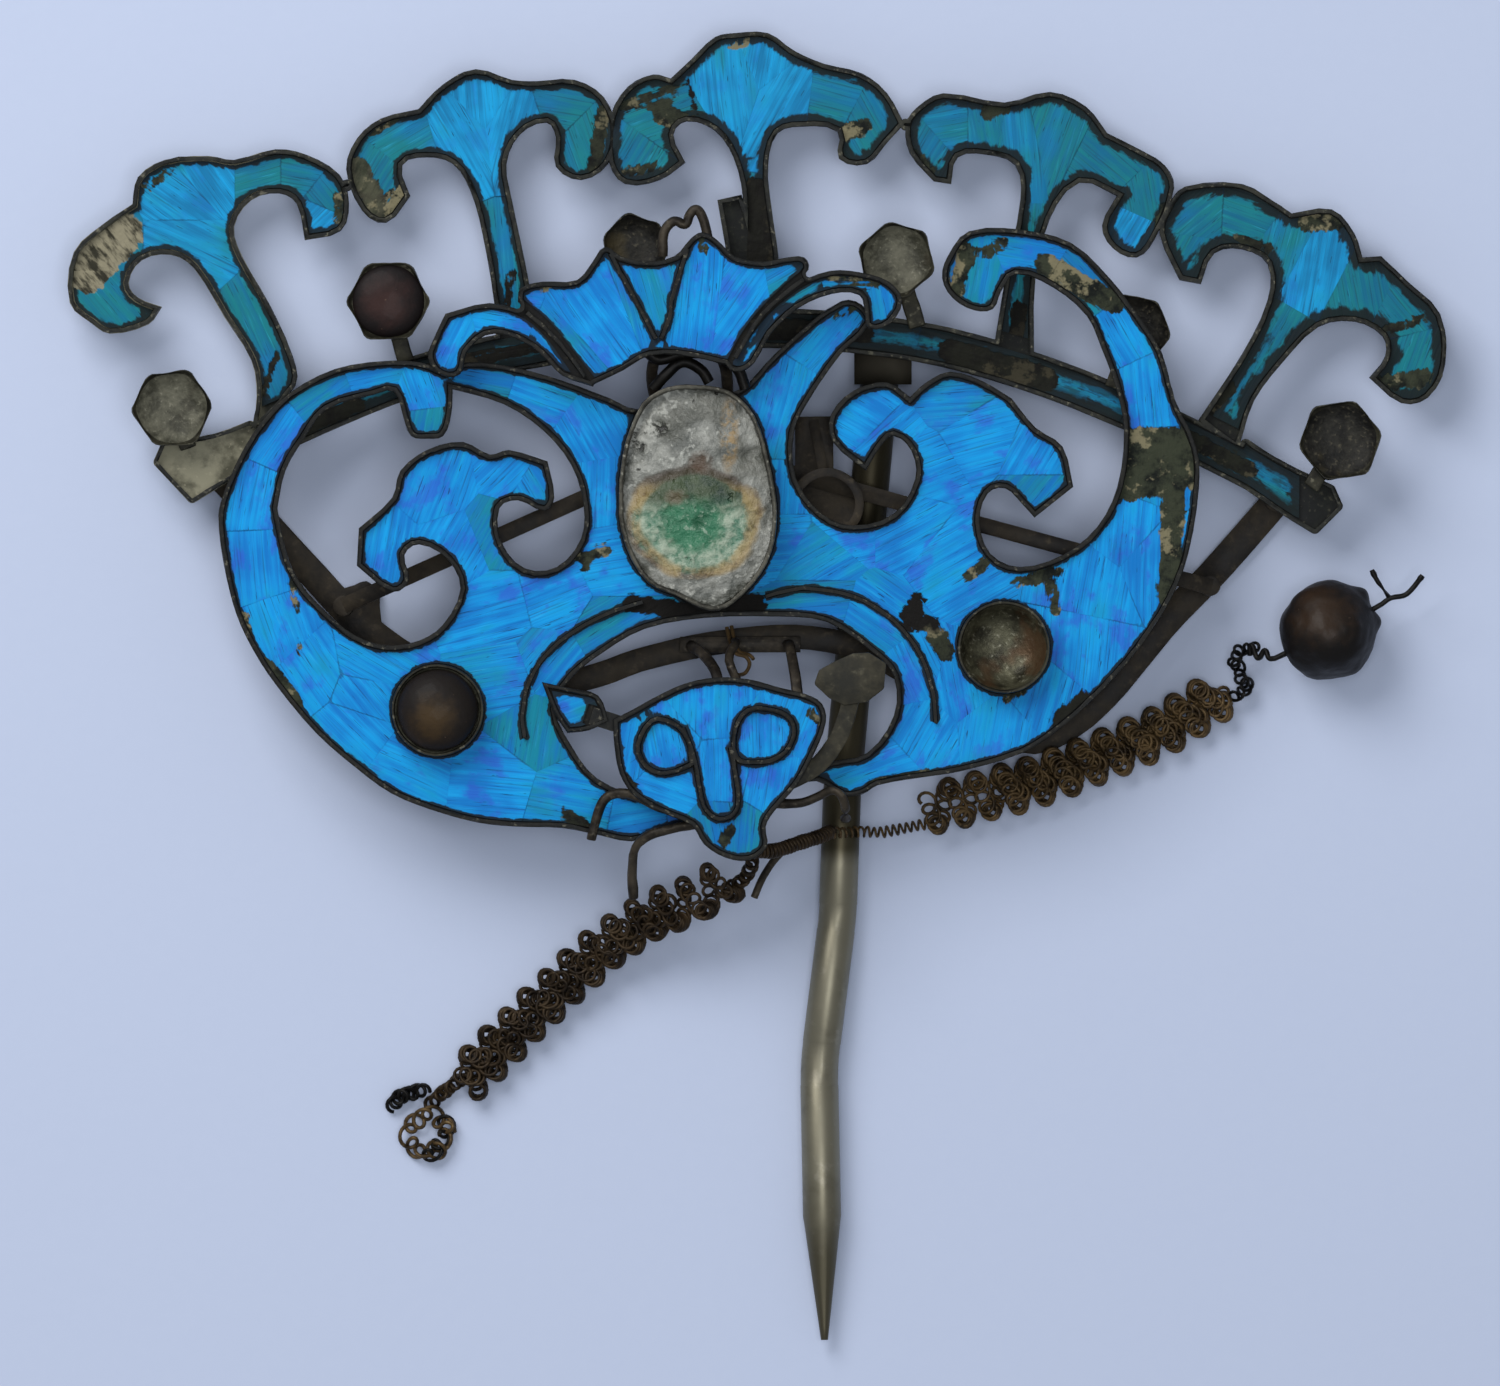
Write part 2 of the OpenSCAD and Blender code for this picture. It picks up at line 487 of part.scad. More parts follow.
module ring_2d(p, w) {
    difference() {
        offset(delta = w / 2) polygon(closed(p, 3));
        offset(delta = -w / 2) polygon(closed(p, 3));
    }
}

module head_plate() {
    color(brass) {
        tray(head_z, 0.75) polygon(closed(head_edge, 3));
        translate([0, 0, head_z + sheet_t - 0.1]) linear_extrude(1.0) offset(delta = -0.01) {
            ring_2d(eye_l, 0.34);
            ring_2d(eye_r, 0.34);
            stroke(open3(nose, 3), 0.34);
        }
    }
}

module head_feathers() {
    color(azure) translate([0, 0, head_z + sheet_t + gap]) linear_extrude(feather_t) offset(delta = -0.01)
        difference() {
            offset(delta = -feather_in) polygon(closed(head_edge, 3));
            ring_2d(eye_l, 0.6);
            ring_2d(eye_r, 0.6);
            stroke(open3(nose, 3), 0.6);
        }
}

// The ear stands on a strip soldered under it, which runs under the head.
module ear_plate() {
    color(brass) {
        tray(ear_z, 0.7) polygon(closed(ear_edge, 3));
        translate([0, 0, ear_z]) linear_extrude(head_z - gap - ear_z) stroke([[-12.4, -2.1],
            [-9.2, -3.1]], 1.3);
    }
}

module ear_feather() {
    color(azure) translate([0, 0, ear_z + sheet_t + gap]) linear_extrude(feather_t) offset(delta = -0.01)
        difference() {
            offset(delta = -feather_in) polygon(closed(ear_edge, 3));
            stroke([[-12.9, -1.9], [-9.2, -3.1]], 1.6);
        }
}

// Bare disc, dished, on a bent strip that runs down beside the cheek.
module ear_disc() {
    color([0.36, 0.34, 0.25]) {
        translate([0, 0, head_z - gap - 0.4]) linear_extrude(0.5) offset(r = 0.3) offset(delta = -0.3)
            polygon(closed(disc_edge, 1));
        translate([0, 0, head_z - gap - 0.4]) linear_extrude(0.4)
            stroke(open3([[7.0, -0.6], [6.6, -2.4], [5.8, -4.1], [4.6, -5.7], [2.9, -6.8], [1.8, -7.1]],
                4), 1.3);
    }
}

// Shank: middle line from the flattened end to the start of the point, bent at each inner point.
point_dir = [0.02, -0.9998];
point_start = [5.03, -48.9] - point_dir * point_len;
shank_c = [[9.3, 24.6], [6.35, -7.4], [6.0, -17.2], point_start - point_dir * (shank_straight + 1.2),
    point_start];
bend_r = 22;

function heading(a, b) = atan2(b[1] - a[1], b[0] - a[0]);
function turn(i) = let (d = heading(shank_c[i], shank_c[i + 1]) - heading(shank_c[i - 1], shank_c[i])) d;
function cut_back(i) = i == 0 || i == len(shank_c) - 1 ? 0 : bend_r * tan(abs(turn(i)) / 2);

module hair_pin() {
    color(brass) translate([0, 0, shank_z]) {
        for (i = [0:len(shank_c) - 2]) {
            a = shank_c[i];
            b = shank_c[i + 1];
            s = a + unit(b - a) * cut_back(i);
            l = norm(b - a) - cut_back(i) - cut_back(i + 1);
            // the last length carries the point
            translate([s[0], s[1], 0]) rotate([0, 90, heading(a, b)])
                if (i < len(shank_c) - 2) cylinder(r = shank_r, h = l);
                else rotate_extrude() polygon([[0, 0], [shank_r, 0], [shank_r, l], [tip_r, l + point_len],
                    [0, l + point_len]]);
        }
        // bends, a hair thinner, let into the straight lengths
        for (i = [1:len(shank_c) - 2]) {
            h = heading(shank_c[i - 1], shank_c[i]);
            s = shank_c[i] - unit(shank_c[i] - shank_c[i - 1]) * cut_back(i);
            k = turn(i) > 0 ? 1 : -1;
            c = s + [-sin(h), cos(h)] * bend_r * k;
            translate([c[0], c[1], 0]) rotate([0, 0, (k > 0 ? h - 90 : h + 90 + turn(i)) - 0.8])
                rotate_extrude(angle = abs(turn(i)) + 1.6) translate([bend_r, 0]) circle(r = shank_r - 0.025);
        }
        // flattened end under the band
        translate([9.4 - shank_top_w / 2, 22.7, 0.2]) cube([shank_top_w, 3.4, fan_z - gap - shank_z - 0.2]);
    }
}

// Back frame: flat bow strips on the floor, cross bar with a tongue, arch strip, collar and posts.
bow_l = [[-40.5, 16.1], [-37.0, 12.4], [-33.2, 8.3], [-29.9, 4.9], [-25.5, 1.8], [-21.5, 0.6]];
bow_r = [[39.0, 14.1], [37.0, 11.8], [33.9, 8.3], [31.1, 5.5], [28.4, 2.3], [26.0, -0.6], [23.6, -2.7],
    [20.8, -3.9], [17.0, -3.0]];
bow_flare = [[-31.2, 7.4, 1], [-30.2, 7.7], [-29.3, 8.0], [-28.3, 7.2, 1], [-28.2, 5.0], [-27.2, 2.8, 1],
    [-30.5, 3.5, 1]];
bar_c = [[-31.0, 6.1], [-4.6, 18.0], [34.0, 7.5]];
arch_c = [[-21.5, 0.6], [-15.5, 0.2], [-12.0, 0.9], [-9.0, 2.0], [-5.0, 3.0], [0.0, 3.7], [4.0, 3.7],
    [8.0, 2.8],
    [12.0, 0.6], [17.0, -3.0]];
post_at = [[-21.0, 10.6], [-10.8, 15.2], [14.0, 13.0], [28.0, 9.1]];
tongue_c = [[4.25, 15.6], [4.25, 20.3]];
bar_z = 3.0;
bar_t = 1.1;

module upright(p, r, z0, z1) {
    translate([p[0], p[1], z0]) cylinder(r = r, h = z1 - z0);
}

module back_frame() {
    color(dark) {
        linear_extrude(strip_t) offset(delta = -0.01) {
            stroke(open3(bow_l, 3), strip_w);
            polygon(closed(bow_flare, 2));
        }
        linear_extrude(strip_t) stroke(open3(bow_r, 3), strip_w);
        translate([0, 0, bar_z]) linear_extrude(bar_t) offset(delta = -0.01) {
            stroke([bar_c[0], bar_c[1]], bar_w);
            stroke([bar_c[1], bar_c[2]], bar_w);
            translate(bar_c[1]) circle(r = bar_w / 2, $fn = 12);
            stroke(tongue_c, 2.9);
        }
        // narrow strip on the tongue
        translate([0, 0, bar_z + bar_t - 0.1]) linear_extrude(0.5) stroke([[4.9, 16.4], [4.2, 20.0]], 0.75);
        translate([0, 0, bar_z + 0.05]) linear_extrude(strip_t) stroke(open3(arch_c, 3), 1.8);
        // feet of the band, the bar and the arch
        upright([-40.2, 15.9], 0.9, 0.3, fan_z - gap);
        upright([38.9, 14.1], 0.9, 0.3, fan_z - gap);
        upright([-31.0, 6.1], 0.75, 0.3, bar_z + bar_t - 0.1);
        upright([33.9, 7.6], 0.75, 0.3, bar_z + bar_t - 0.1);
        upright([-21.4, 0.6], 0.8, 0.3, bar_z + 0.85);
        upright([17.0, -3.0], 0.8, 0.3, bar_z + 0.85);
        for (p = post_at) upright(p, post_r, bar_z + 0.3, bat_z - gap);
        // collar with a floor, beside the shank
        difference() {
            upright([5.2, 13.7], 2.75, bar_z + 0.15, bar_z + 3.4);
            upright([5.2, 13.7], 2.1, bar_z + 0.65, bar_z + 4);
        }
    }
}

module strut(p, a) {
    tube(open3(p, 4), a, 0.3);
}

// Struts from the arch to the head, on one foot.
module head_struts() {
    z = bar_z + 0.05 + strip_t + gap;
    color(dark) {
        translate([-5.8, 2.6, z]) cube([9.0, 1.2, 0.6]);
        strut([[-5.1, 3.2, z + 0.3], [-4.2, 2.6, z + 3], [-3.2, 1.3, z + 5.4],
            [-2.8, -0.6, head_z - 0.42]], 0.42);
        strut([[-1.9, 3.3, z + 0.3], [-1.6, 3.4, z + 3], [-2.1, 2.0, z + 5.4],
            [-1.0, -0.6, head_z - 0.42]], 0.34);
        strut([[2.3, 3.3, z + 0.3], [2.4, 3.0, z + 3], [2.8, 1.0, z + 5.2], [3.0, -1.4, head_z - 0.42]],
            0.42);
    }
}

// Struts from the cross bar to the crown, on one foot.
module crown_struts() {
    z = bar_z + bar_t + gap;
    color(dark) {
        translate([-7.6, 16.6, z]) cube([6.2, 1.0, 0.6]);
        strut([[-7.0, 17.1, z + 0.3], [-7.6, 21.2, z + 1.8], [-7.9, 23.6, z + 3.6],
            [-7.2, 25.8, crown_z - 0.42]], 0.45);
        strut([[-2.0, 17.1, z + 0.3], [-2.2, 21.4, z + 1.6], [-2.4, 23.9, z + 3.2],
            [-3.2, 25.8, crown_z - 0.42]], 0.45);
    }
}

// Loops of thick wire behind the crown's top.
module crown_loops() {
    z = crown_z - 0.5;
    color(dark) tube(open3([[-7.1, 32.2, z], [-7.0, 34.0, z], [-6.2, 34.85, z], [-5.4, 34.6, z],
        [-5.05, 35.3, z],
        [-4.6, 35.7, z], [-4.15, 35.2, z], [-3.8, 34.0, z], [-3.6, 32.8, z]], 3), 0.36, 0.36);
}

module whisker_left() {
    z = head_z - 0.45;
    color(dark) tube(open3([[-12.4, -11.4, 9.7], [-12.1, -10.0, 9.8], [-11.6, -8.6, 9.9], [-10.9, -8.0, 10.0],
        [-9.7, -7.95, z], [-8.6, -8.3, z], [-7.2, -9.0, z], [-5.7, -9.3, z]], 3), 0.36, 0.34);
}

module whisker_low() {
    color(dark) tube(open3([[-4.4, -10.2, head_z - 0.5], [-6.6, -10.6, 10.1], [-8.2, -11.1, 9.8],
        [-9.1, -11.9, 9.4],
        [-9.35, -13.5, 8.6], [-9.3, -15.8, 7.9]], 3), 0.36, 0.34);
}

module whisker_right() {
    color(dark) tube(open3([[1.4, -8.7, head_z - 0.5], [3.2, -8.6, 10.1], [4.6, -8.1, 9.9], [5.6, -7.7, 9.6],
        [6.3, -8.1, 9.8], [6.6, -9.1, 9.2], [6.6, -9.7, 7.4], [6.6, -9.8, 3.4]], 3), 0.34, 0.3);
}

// Wire wrap from the chin down to the shank, and the cut leg beside it.
module chin_wrap() {
    color(coil) {
        tube(open3([[-0.6, -12.2, head_z - 0.75], [1.2, -12.2, 8.6], [3.2, -11.6, 6.6], [4.8, -11.1, 4.9],
            [5.4, -10.8, 3.7]], 5), 0.68, 0.6, 10);
        tube(open3([[2.0, -12.1, 7.7], [1.1, -13.1, 7.2], [0.3, -14.4, 6.7], [-0.25, -15.7, 6.4]], 4),
            0.32, 0.3);
    }
}

// Feelers: flattened figure-of-eight coil, as its bounding tube.
module strand_left() {
    color(coil) tube(open3([[-1.9, -14.1, 7.3], [-4.6, -15.7, 5.9], [-7.9, -17.1, 4.2], [-11.4, -19.4, 2.6],
        [-15.4, -23.0, 1.7], [-18.5, -26.1, 1.4], [-21.9, -29.4, 1.3]], 9), feeler_a, feeler_b, 10);
}

module strand_right() {
    color(coil) tube(open3([[12.8, -9.1, 2.2], [18.2, -7.8, 1.9], [22.4, -6.5, 1.6], [25.9, -5.1, 1.45],
        [29.2, -3.75, 1.4], [31.6, -2.5, 1.4], [34.8, -0.4, 1.4]], 8), feeler_a, feeler_b, 10);
}

module thin_spring() {
    color(coil) tube(open3([[7.9, -10.8, 2.3], [9.2, -10.85, 2.2], [10.7, -10.6, 2.2],
        [12.7, -10.2, 2.2]], 5),
        0.5, 0.5);
}

// Coil and ring at the end of the left feeler.
module end_coil_left() {
    color(dark) tube(open3([[-22.75, -29.6, 0.9], [-24.0, -30.1, 0.7], [-25.2, -30.45, 0.6],
        [-26.3, -30.55, 0.6],
        [-27.3, -31.4, 0.6]], 5), 0.55, 0.5);
}

module end_ring() {
    color(coil) translate([-24.6, -33.45, 0.56]) rotate_extrude() translate([1.75, 0]) circle(r = 0.55);
}

// Coil at the end of the right feeler, standing up toward the bead's wire.
module end_coil_right() {
    color(dark) tube(open3([[36.0, -1.0, 1.3], [36.4, 0.0, 1.5], [36.0, 1.2, 1.8], [36.1, 2.0, 2.2]], 5),
        0.5, 0.45);
}

// Bead, bored along its wire, with two small nubs.
bead_c = [42.8, 4.25, bead_r + 0.02];
bore_dir = [0.89, 0.45];

module bead() {
    color(stone) difference() {
        union() {
            translate(bead_c) sphere(r = bead_r);
            translate(bead_c) rotate([0, 90, 48]) cylinder(r1 = 1.1, r2 = 0.45, h = bead_r + 0.6);
            translate(bead_c) rotate([0, 90, 12]) cylinder(r1 = 1.0, r2 = 0.4, h = bead_r + 0.55);
            translate(bead_c) rotate([0, 90, 238]) cylinder(r1 = 1.2, r2 = 0.6, h = bead_r + 0.1);
        }
        translate(bead_c) rotate([0, 90, atan2(bore_dir[1], bore_dir[0])]) translate([0, 0, -6])
            cylinder(r = 0.4, h = 12);
    }
}

module bead_wire() {
    zb = bead_c[2];
    a = [bead_c[0] - bore_dir[0] * 4.6, bead_c[1] - bore_dir[1] * 4.6, zb];
    b = [bead_c[0] + bore_dir[0] * 4.4, bead_c[1] + bore_dir[1] * 4.4, zb];
    color(dark) {
        tube(concat(open3([[36.9, 2.4, 2.4], [37.0, 3.2, 2.7], [37.5, 2.2, 3.0], [38.0, 2.8, 3.3],
            [38.3, 2.2, 3.6], a], 4),
            open3([b, [47.4, 6.7, zb], [48.6, 7.0, zb], [49.8, 8.4, zb]], 4)), 0.2, 0.2, 8);
        tube(open3([[47.3, 6.75, zb], [46.9, 7.3, zb + 0.1], [46.4, 8.0, zb + 0.2],
            [46.0, 8.8, zb + 0.2]], 4), 0.18, 0.18, 8);
    }
}

// part to show

hair_pin();
back_frame();
fan_frame();
fan_feather(0);  // fan_feather_1
fan_feather(1);  // fan_feather_2
fan_feather(2);  // fan_feather_3
fan_feather(3);  // fan_feather_4
fan_feather(4);  // fan_feather_5
band_feather();
band_cup(0);  // band_cup_1
band_cup(1);  // band_cup_2
band_cup(2);  // band_cup_3
band_cup(3);  // band_cup_4
band_cup(4);  // band_cup_5
band_cup(5);  // band_cup_6
fan_stone();
bat_plate();
bat_feather_left();
bat_feather_right();
oval_bezel();
bezel_paste();
wing_cup_left();
wing_cup_right();
wing_stone();
crown_plate();
crown_feathers();
head_plate();
head_feathers();
ear_plate();
ear_feather();
ear_disc();
head_struts();
crown_struts();
crown_loops();
whisker_left();
whisker_low();
whisker_right();
chin_wrap();
thin_spring();
strand_left();
strand_right();
end_coil_left();
end_ring();
end_coil_right();
bead();
bead_wire();
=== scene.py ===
"""Looks of an openwork hair ornament with feather inlay.

Holds its finishes, its detailed pieces, and a floor, lights and a camera.
"""
import logging
import math
from dataclasses import dataclass
from enum import Enum
from functools import cached_property
from typing import Any, Callable, ClassVar, Mapping, Optional, Sequence, Union

import bmesh
import bpy
from mathutils import Matrix, Vector, kdtree, noise


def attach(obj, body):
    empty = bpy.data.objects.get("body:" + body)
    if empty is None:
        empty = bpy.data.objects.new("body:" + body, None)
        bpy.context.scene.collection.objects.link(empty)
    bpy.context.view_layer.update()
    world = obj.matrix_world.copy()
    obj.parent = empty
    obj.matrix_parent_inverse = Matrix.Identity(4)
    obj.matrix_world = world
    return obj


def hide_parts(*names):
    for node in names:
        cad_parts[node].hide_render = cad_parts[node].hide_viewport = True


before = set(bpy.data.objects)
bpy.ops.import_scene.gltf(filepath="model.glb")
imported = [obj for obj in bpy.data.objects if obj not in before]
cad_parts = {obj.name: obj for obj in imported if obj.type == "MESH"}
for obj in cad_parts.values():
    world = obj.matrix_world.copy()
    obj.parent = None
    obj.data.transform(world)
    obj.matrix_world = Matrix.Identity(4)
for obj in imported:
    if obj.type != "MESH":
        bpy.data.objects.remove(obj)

logging.basicConfig(level=logging.INFO, format="%(message)s")
LOG = logging.getLogger("ornament")

MM = 0.001
# Vertices closer than WELD are joined, and a cut snaps to vertices within CUT_DISTANCE, both in metres
WELD = 0.002 * MM
CUT_DISTANCE = 1e-7
# Faces that meet within FLAT_ANGLE radians are merged, faces of more than MAX_CORNERS corners are split
FLAT_ANGLE = 0.02
MAX_CORNERS = 4
# An edge is sharp where its faces meet at more than SHARP_ANGLE radians
SHARP_ANGLE = 0.9
# Millimetres from an inlay's border in the CAD to the rim
TO_RIM = 0.09
# Millimetres within which a place counts as on a straight border
AT_SPLIT = 0.1
# Starts the vector noise, which would start from the clock, so that every run gives the same dents and loops
SEED = 1795723695
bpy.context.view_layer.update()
Colour = tuple[float, float, float]
Point = Sequence[float]
Socket = bpy.types.NodeSocket
Number = Union["Value", float]
Shade = Union[Colour, Socket]


def rgb(red: int, green: int, blue: int) -> Colour:
    """Turns screen values from 0 to 255 into the linear colour of a shader."""
    return tuple((c / 255 / 12.92) if c < 11 else ((c / 255 + 0.055) / 1.055) ** 2.4
                 for c in (red, green, blue))


# Shader building


@dataclass(frozen=True)
class Value:
    """A number that varies over a surface; arithmetic on it adds Math nodes."""

    recipe: "Recipe"
    socket: Socket

    def _math(self, operation: str, *others: Number) -> "Value":
        """Adds one Math node on this value and the others."""
        node = self.recipe.node("ShaderNodeMath", {"operation": operation},
                                {i: v for i, v in enumerate((self, *others))})
        return Value(self.recipe, node.outputs[0])

    def __add__(self, other: Number) -> "Value":
        """Sum."""
        return self._math("ADD", other)

    def __radd__(self, other: float) -> "Value":
        """Sum, reflected."""
        return self._math("ADD", other)

    def __sub__(self, other: Number) -> "Value":
        """Difference."""
        return self._math("SUBTRACT", other)

    def __rsub__(self, other: float) -> "Value":
        """Difference, reflected."""
        return (self * -1.0) + other

    def __mul__(self, other: Number) -> "Value":
        """Product."""
        return self._math("MULTIPLY", other)

    def __rmul__(self, other: float) -> "Value":
        """Product, reflected."""
        return self._math("MULTIPLY", other)

    def __truediv__(self, other: Number) -> "Value":
        """Quotient."""
        return self._math("DIVIDE", other)

    def power(self, exponent: float) -> "Value":
        """This value to a power."""
        return self._math("POWER", exponent)

    def between(self, low: float, high: float) -> "Value":
        """Takes a smooth step from 0 to 1.

        Args:
            low: Where the step starts.
            high: Where it ends; below low, the step falls from 1 to 0.

        Returns:
            The step.
        """
        ends = {1: low, 2: high, 3: 0.0, 4: 1.0} if low < high else {1: high, 2: low, 3: 1.0, 4: 0.0}
        node = self.recipe.node("ShaderNodeMapRange", {"interpolation_type": "SMOOTHSTEP", "clamp": True},
                                {0: self, **ends})
        return Value(self.recipe, node.outputs[0])


class Recipe:
    """Builds one node material."""

    def __init__(self, name: str) -> None:
        """Starts an empty material.

        Args:
            name: The material's name.
        """
        self.material = bpy.data.materials.new(name)
        self.material.use_nodes = True
        self.tree = self.material.node_tree
        self.tree.nodes.clear()
        self.place = self.node("ShaderNodeTexCoord").outputs["Object"]

    def node(self, kind: str, settings: Optional[Mapping[str, Any]] = None,
             sockets: Optional[Mapping[Union[int, str], Any]] = None) -> bpy.types.Node:
        """Adds any node.

        Args:
            kind: The node's type.
            settings: Its properties, set first.
            sockets: Values or links by input number or name.

        Returns:
            The node.
        """
        made = self.tree.nodes.new(kind)
        for key, setting in (settings or {}).items():
            setattr(made, key, setting)
        for key, given in (sockets or {}).items():
            self.feed(made.inputs[key], given)
        return made

    def feed(self, entry: Socket, given: Any) -> None:
        """Links or sets one input.

        Args:
            entry: The input.
            given: A value, a link, a colour or a number.
        """
        if isinstance(given, Value):
            self.tree.links.new(given.socket, entry)
        elif isinstance(given, bpy.types.NodeSocket):
            self.tree.links.new(given, entry)
        elif entry.type == "RGBA" and len(given) == 3:
            entry.default_value = (*given, 1.0)
        else:
            entry.default_value = given

    def stretch(self, vector: Socket, scale: Point, shift: Point = (0, 0, 0)) -> Socket:
        """A vector scaled and shifted by a Mapping node."""
        return self.node("ShaderNodeMapping", {"vector_type": "POINT"}, {
            "Vector": vector, "Scale": tuple(scale), "Location": tuple(shift)}).outputs[0]

    def noise(self, vector: Socket, scale: float, detail: float = 3.0, rough: float = 0.55) -> Value:
        """Fractal noise from 0 to 1 at a scale per metre."""
        node = self.node("ShaderNodeTexNoise", {"noise_dimensions": "3D"}, {
            "Vector": vector, "Scale": scale, "Detail": detail, "Roughness": rough, "Distortion": 0.0})
        return Value(self, node.outputs[0])

    def attribute(self, name: str) -> Value:
        """A number stored on the mesh's points."""
        return Value(self, self.node("ShaderNodeAttribute", {"attribute_name": name}).outputs["Fac"])

    def parts(self, vector: Socket) -> tuple[Value, Value, Value]:
        """The X, Y and Z of a vector."""
        split = self.node("ShaderNodeSeparateXYZ", None, {0: vector})
        return tuple(Value(self, out) for out in split.outputs)

    def mix(self, part: Number, low: Shade, high: Shade) -> Socket:
        """Mixes two colours.

        Args:
            part: Share of the second, from 0 to 1.
            low: The first colour.
            high: The second colour.

        Returns:
            The mixed colour.
        """
        node = self.node("ShaderNodeMix",
                         {"data_type": "RGBA", "blend_type": "MIX", "clamp_factor": True},
                         {0: part, 6: low, 7: high})
        return node.outputs[2]

    def bump(self, height: Value, depth: float) -> Socket:
        """A normal from a height, depth in metres."""
        node = self.node("ShaderNodeBump", None, {"Height": height, "Distance": depth, "Strength": 1.0})
        return node.outputs[0]

    def finish(self, colour: Shade, rough: Number, metal: Number = 0.0,
               normal: Optional[Socket] = None, **more: Any) -> bpy.types.Material:
        """Closes the material with one Principled shader.

        Args:
            colour: Base colour.
            rough: Roughness.
            metal: Metallic.
            normal: Normal, if any.
            **more: Other inputs by name with underscores for spaces.

        Returns:
            The material.
        """
        sockets = {"Base Color": colour, "Roughness": rough, "Metallic": metal}
        if normal is not None:
            sockets["Normal"] = normal
        sockets.update({key.replace("_", " "): given for key, given in more.items()})
        shader = self.node("ShaderNodeBsdfPrincipled", None, sockets)
        self.node("ShaderNodeOutputMaterial", None, {0: shader.outputs[0]})
        return self.material


# Finishes


@dataclass(frozen=True)
class Streaks:
    """The noises that a feather finish is drawn with, most of them drawn out along the barbs."""

    recipe: Recipe
    barb: Socket

    def along(self, length: float, width: float, detail: float = 3.0, rough: float = 0.55,
              shift: tuple[float, float] = (0, 0)) -> Value:
        """Makes noise that is drawn out along the barbs.

        Args:
            length: Waves per millimetre along a barb.
            width: Waves per millimetre across it.
            detail: Octaves of the noise.
            rough: Weight of the finer octaves.
            shift: Moves the pattern.

        Returns:
            The noise.
        """
        place = self.recipe.stretch(self.barb, (length, width, 1), (*shift, 0))
        return self.recipe.noise(place, 1.0, detail, rough)

    @cached_property
    def fine(self) -> Value:
        """Bundles of barbs."""
        return self.along(0.09, 2.4, 3.0, 0.6)

    @cached_property
    def hair(self) -> Value:
        """Single barbs."""
        return self.along(0.16, 6.5, 2.0, 0.5)

    @cached_property
    def smear(self) -> Value:
        """Dirt rubbed along the barbs."""
        return self.along(0.5, 1.6, 4.0, 0.6)

    @cached_property
    def mottle(self) -> Value:
        """Fine grain of no direction."""
        return self.recipe.noise(self.recipe.place, 1500.0, 3.0)


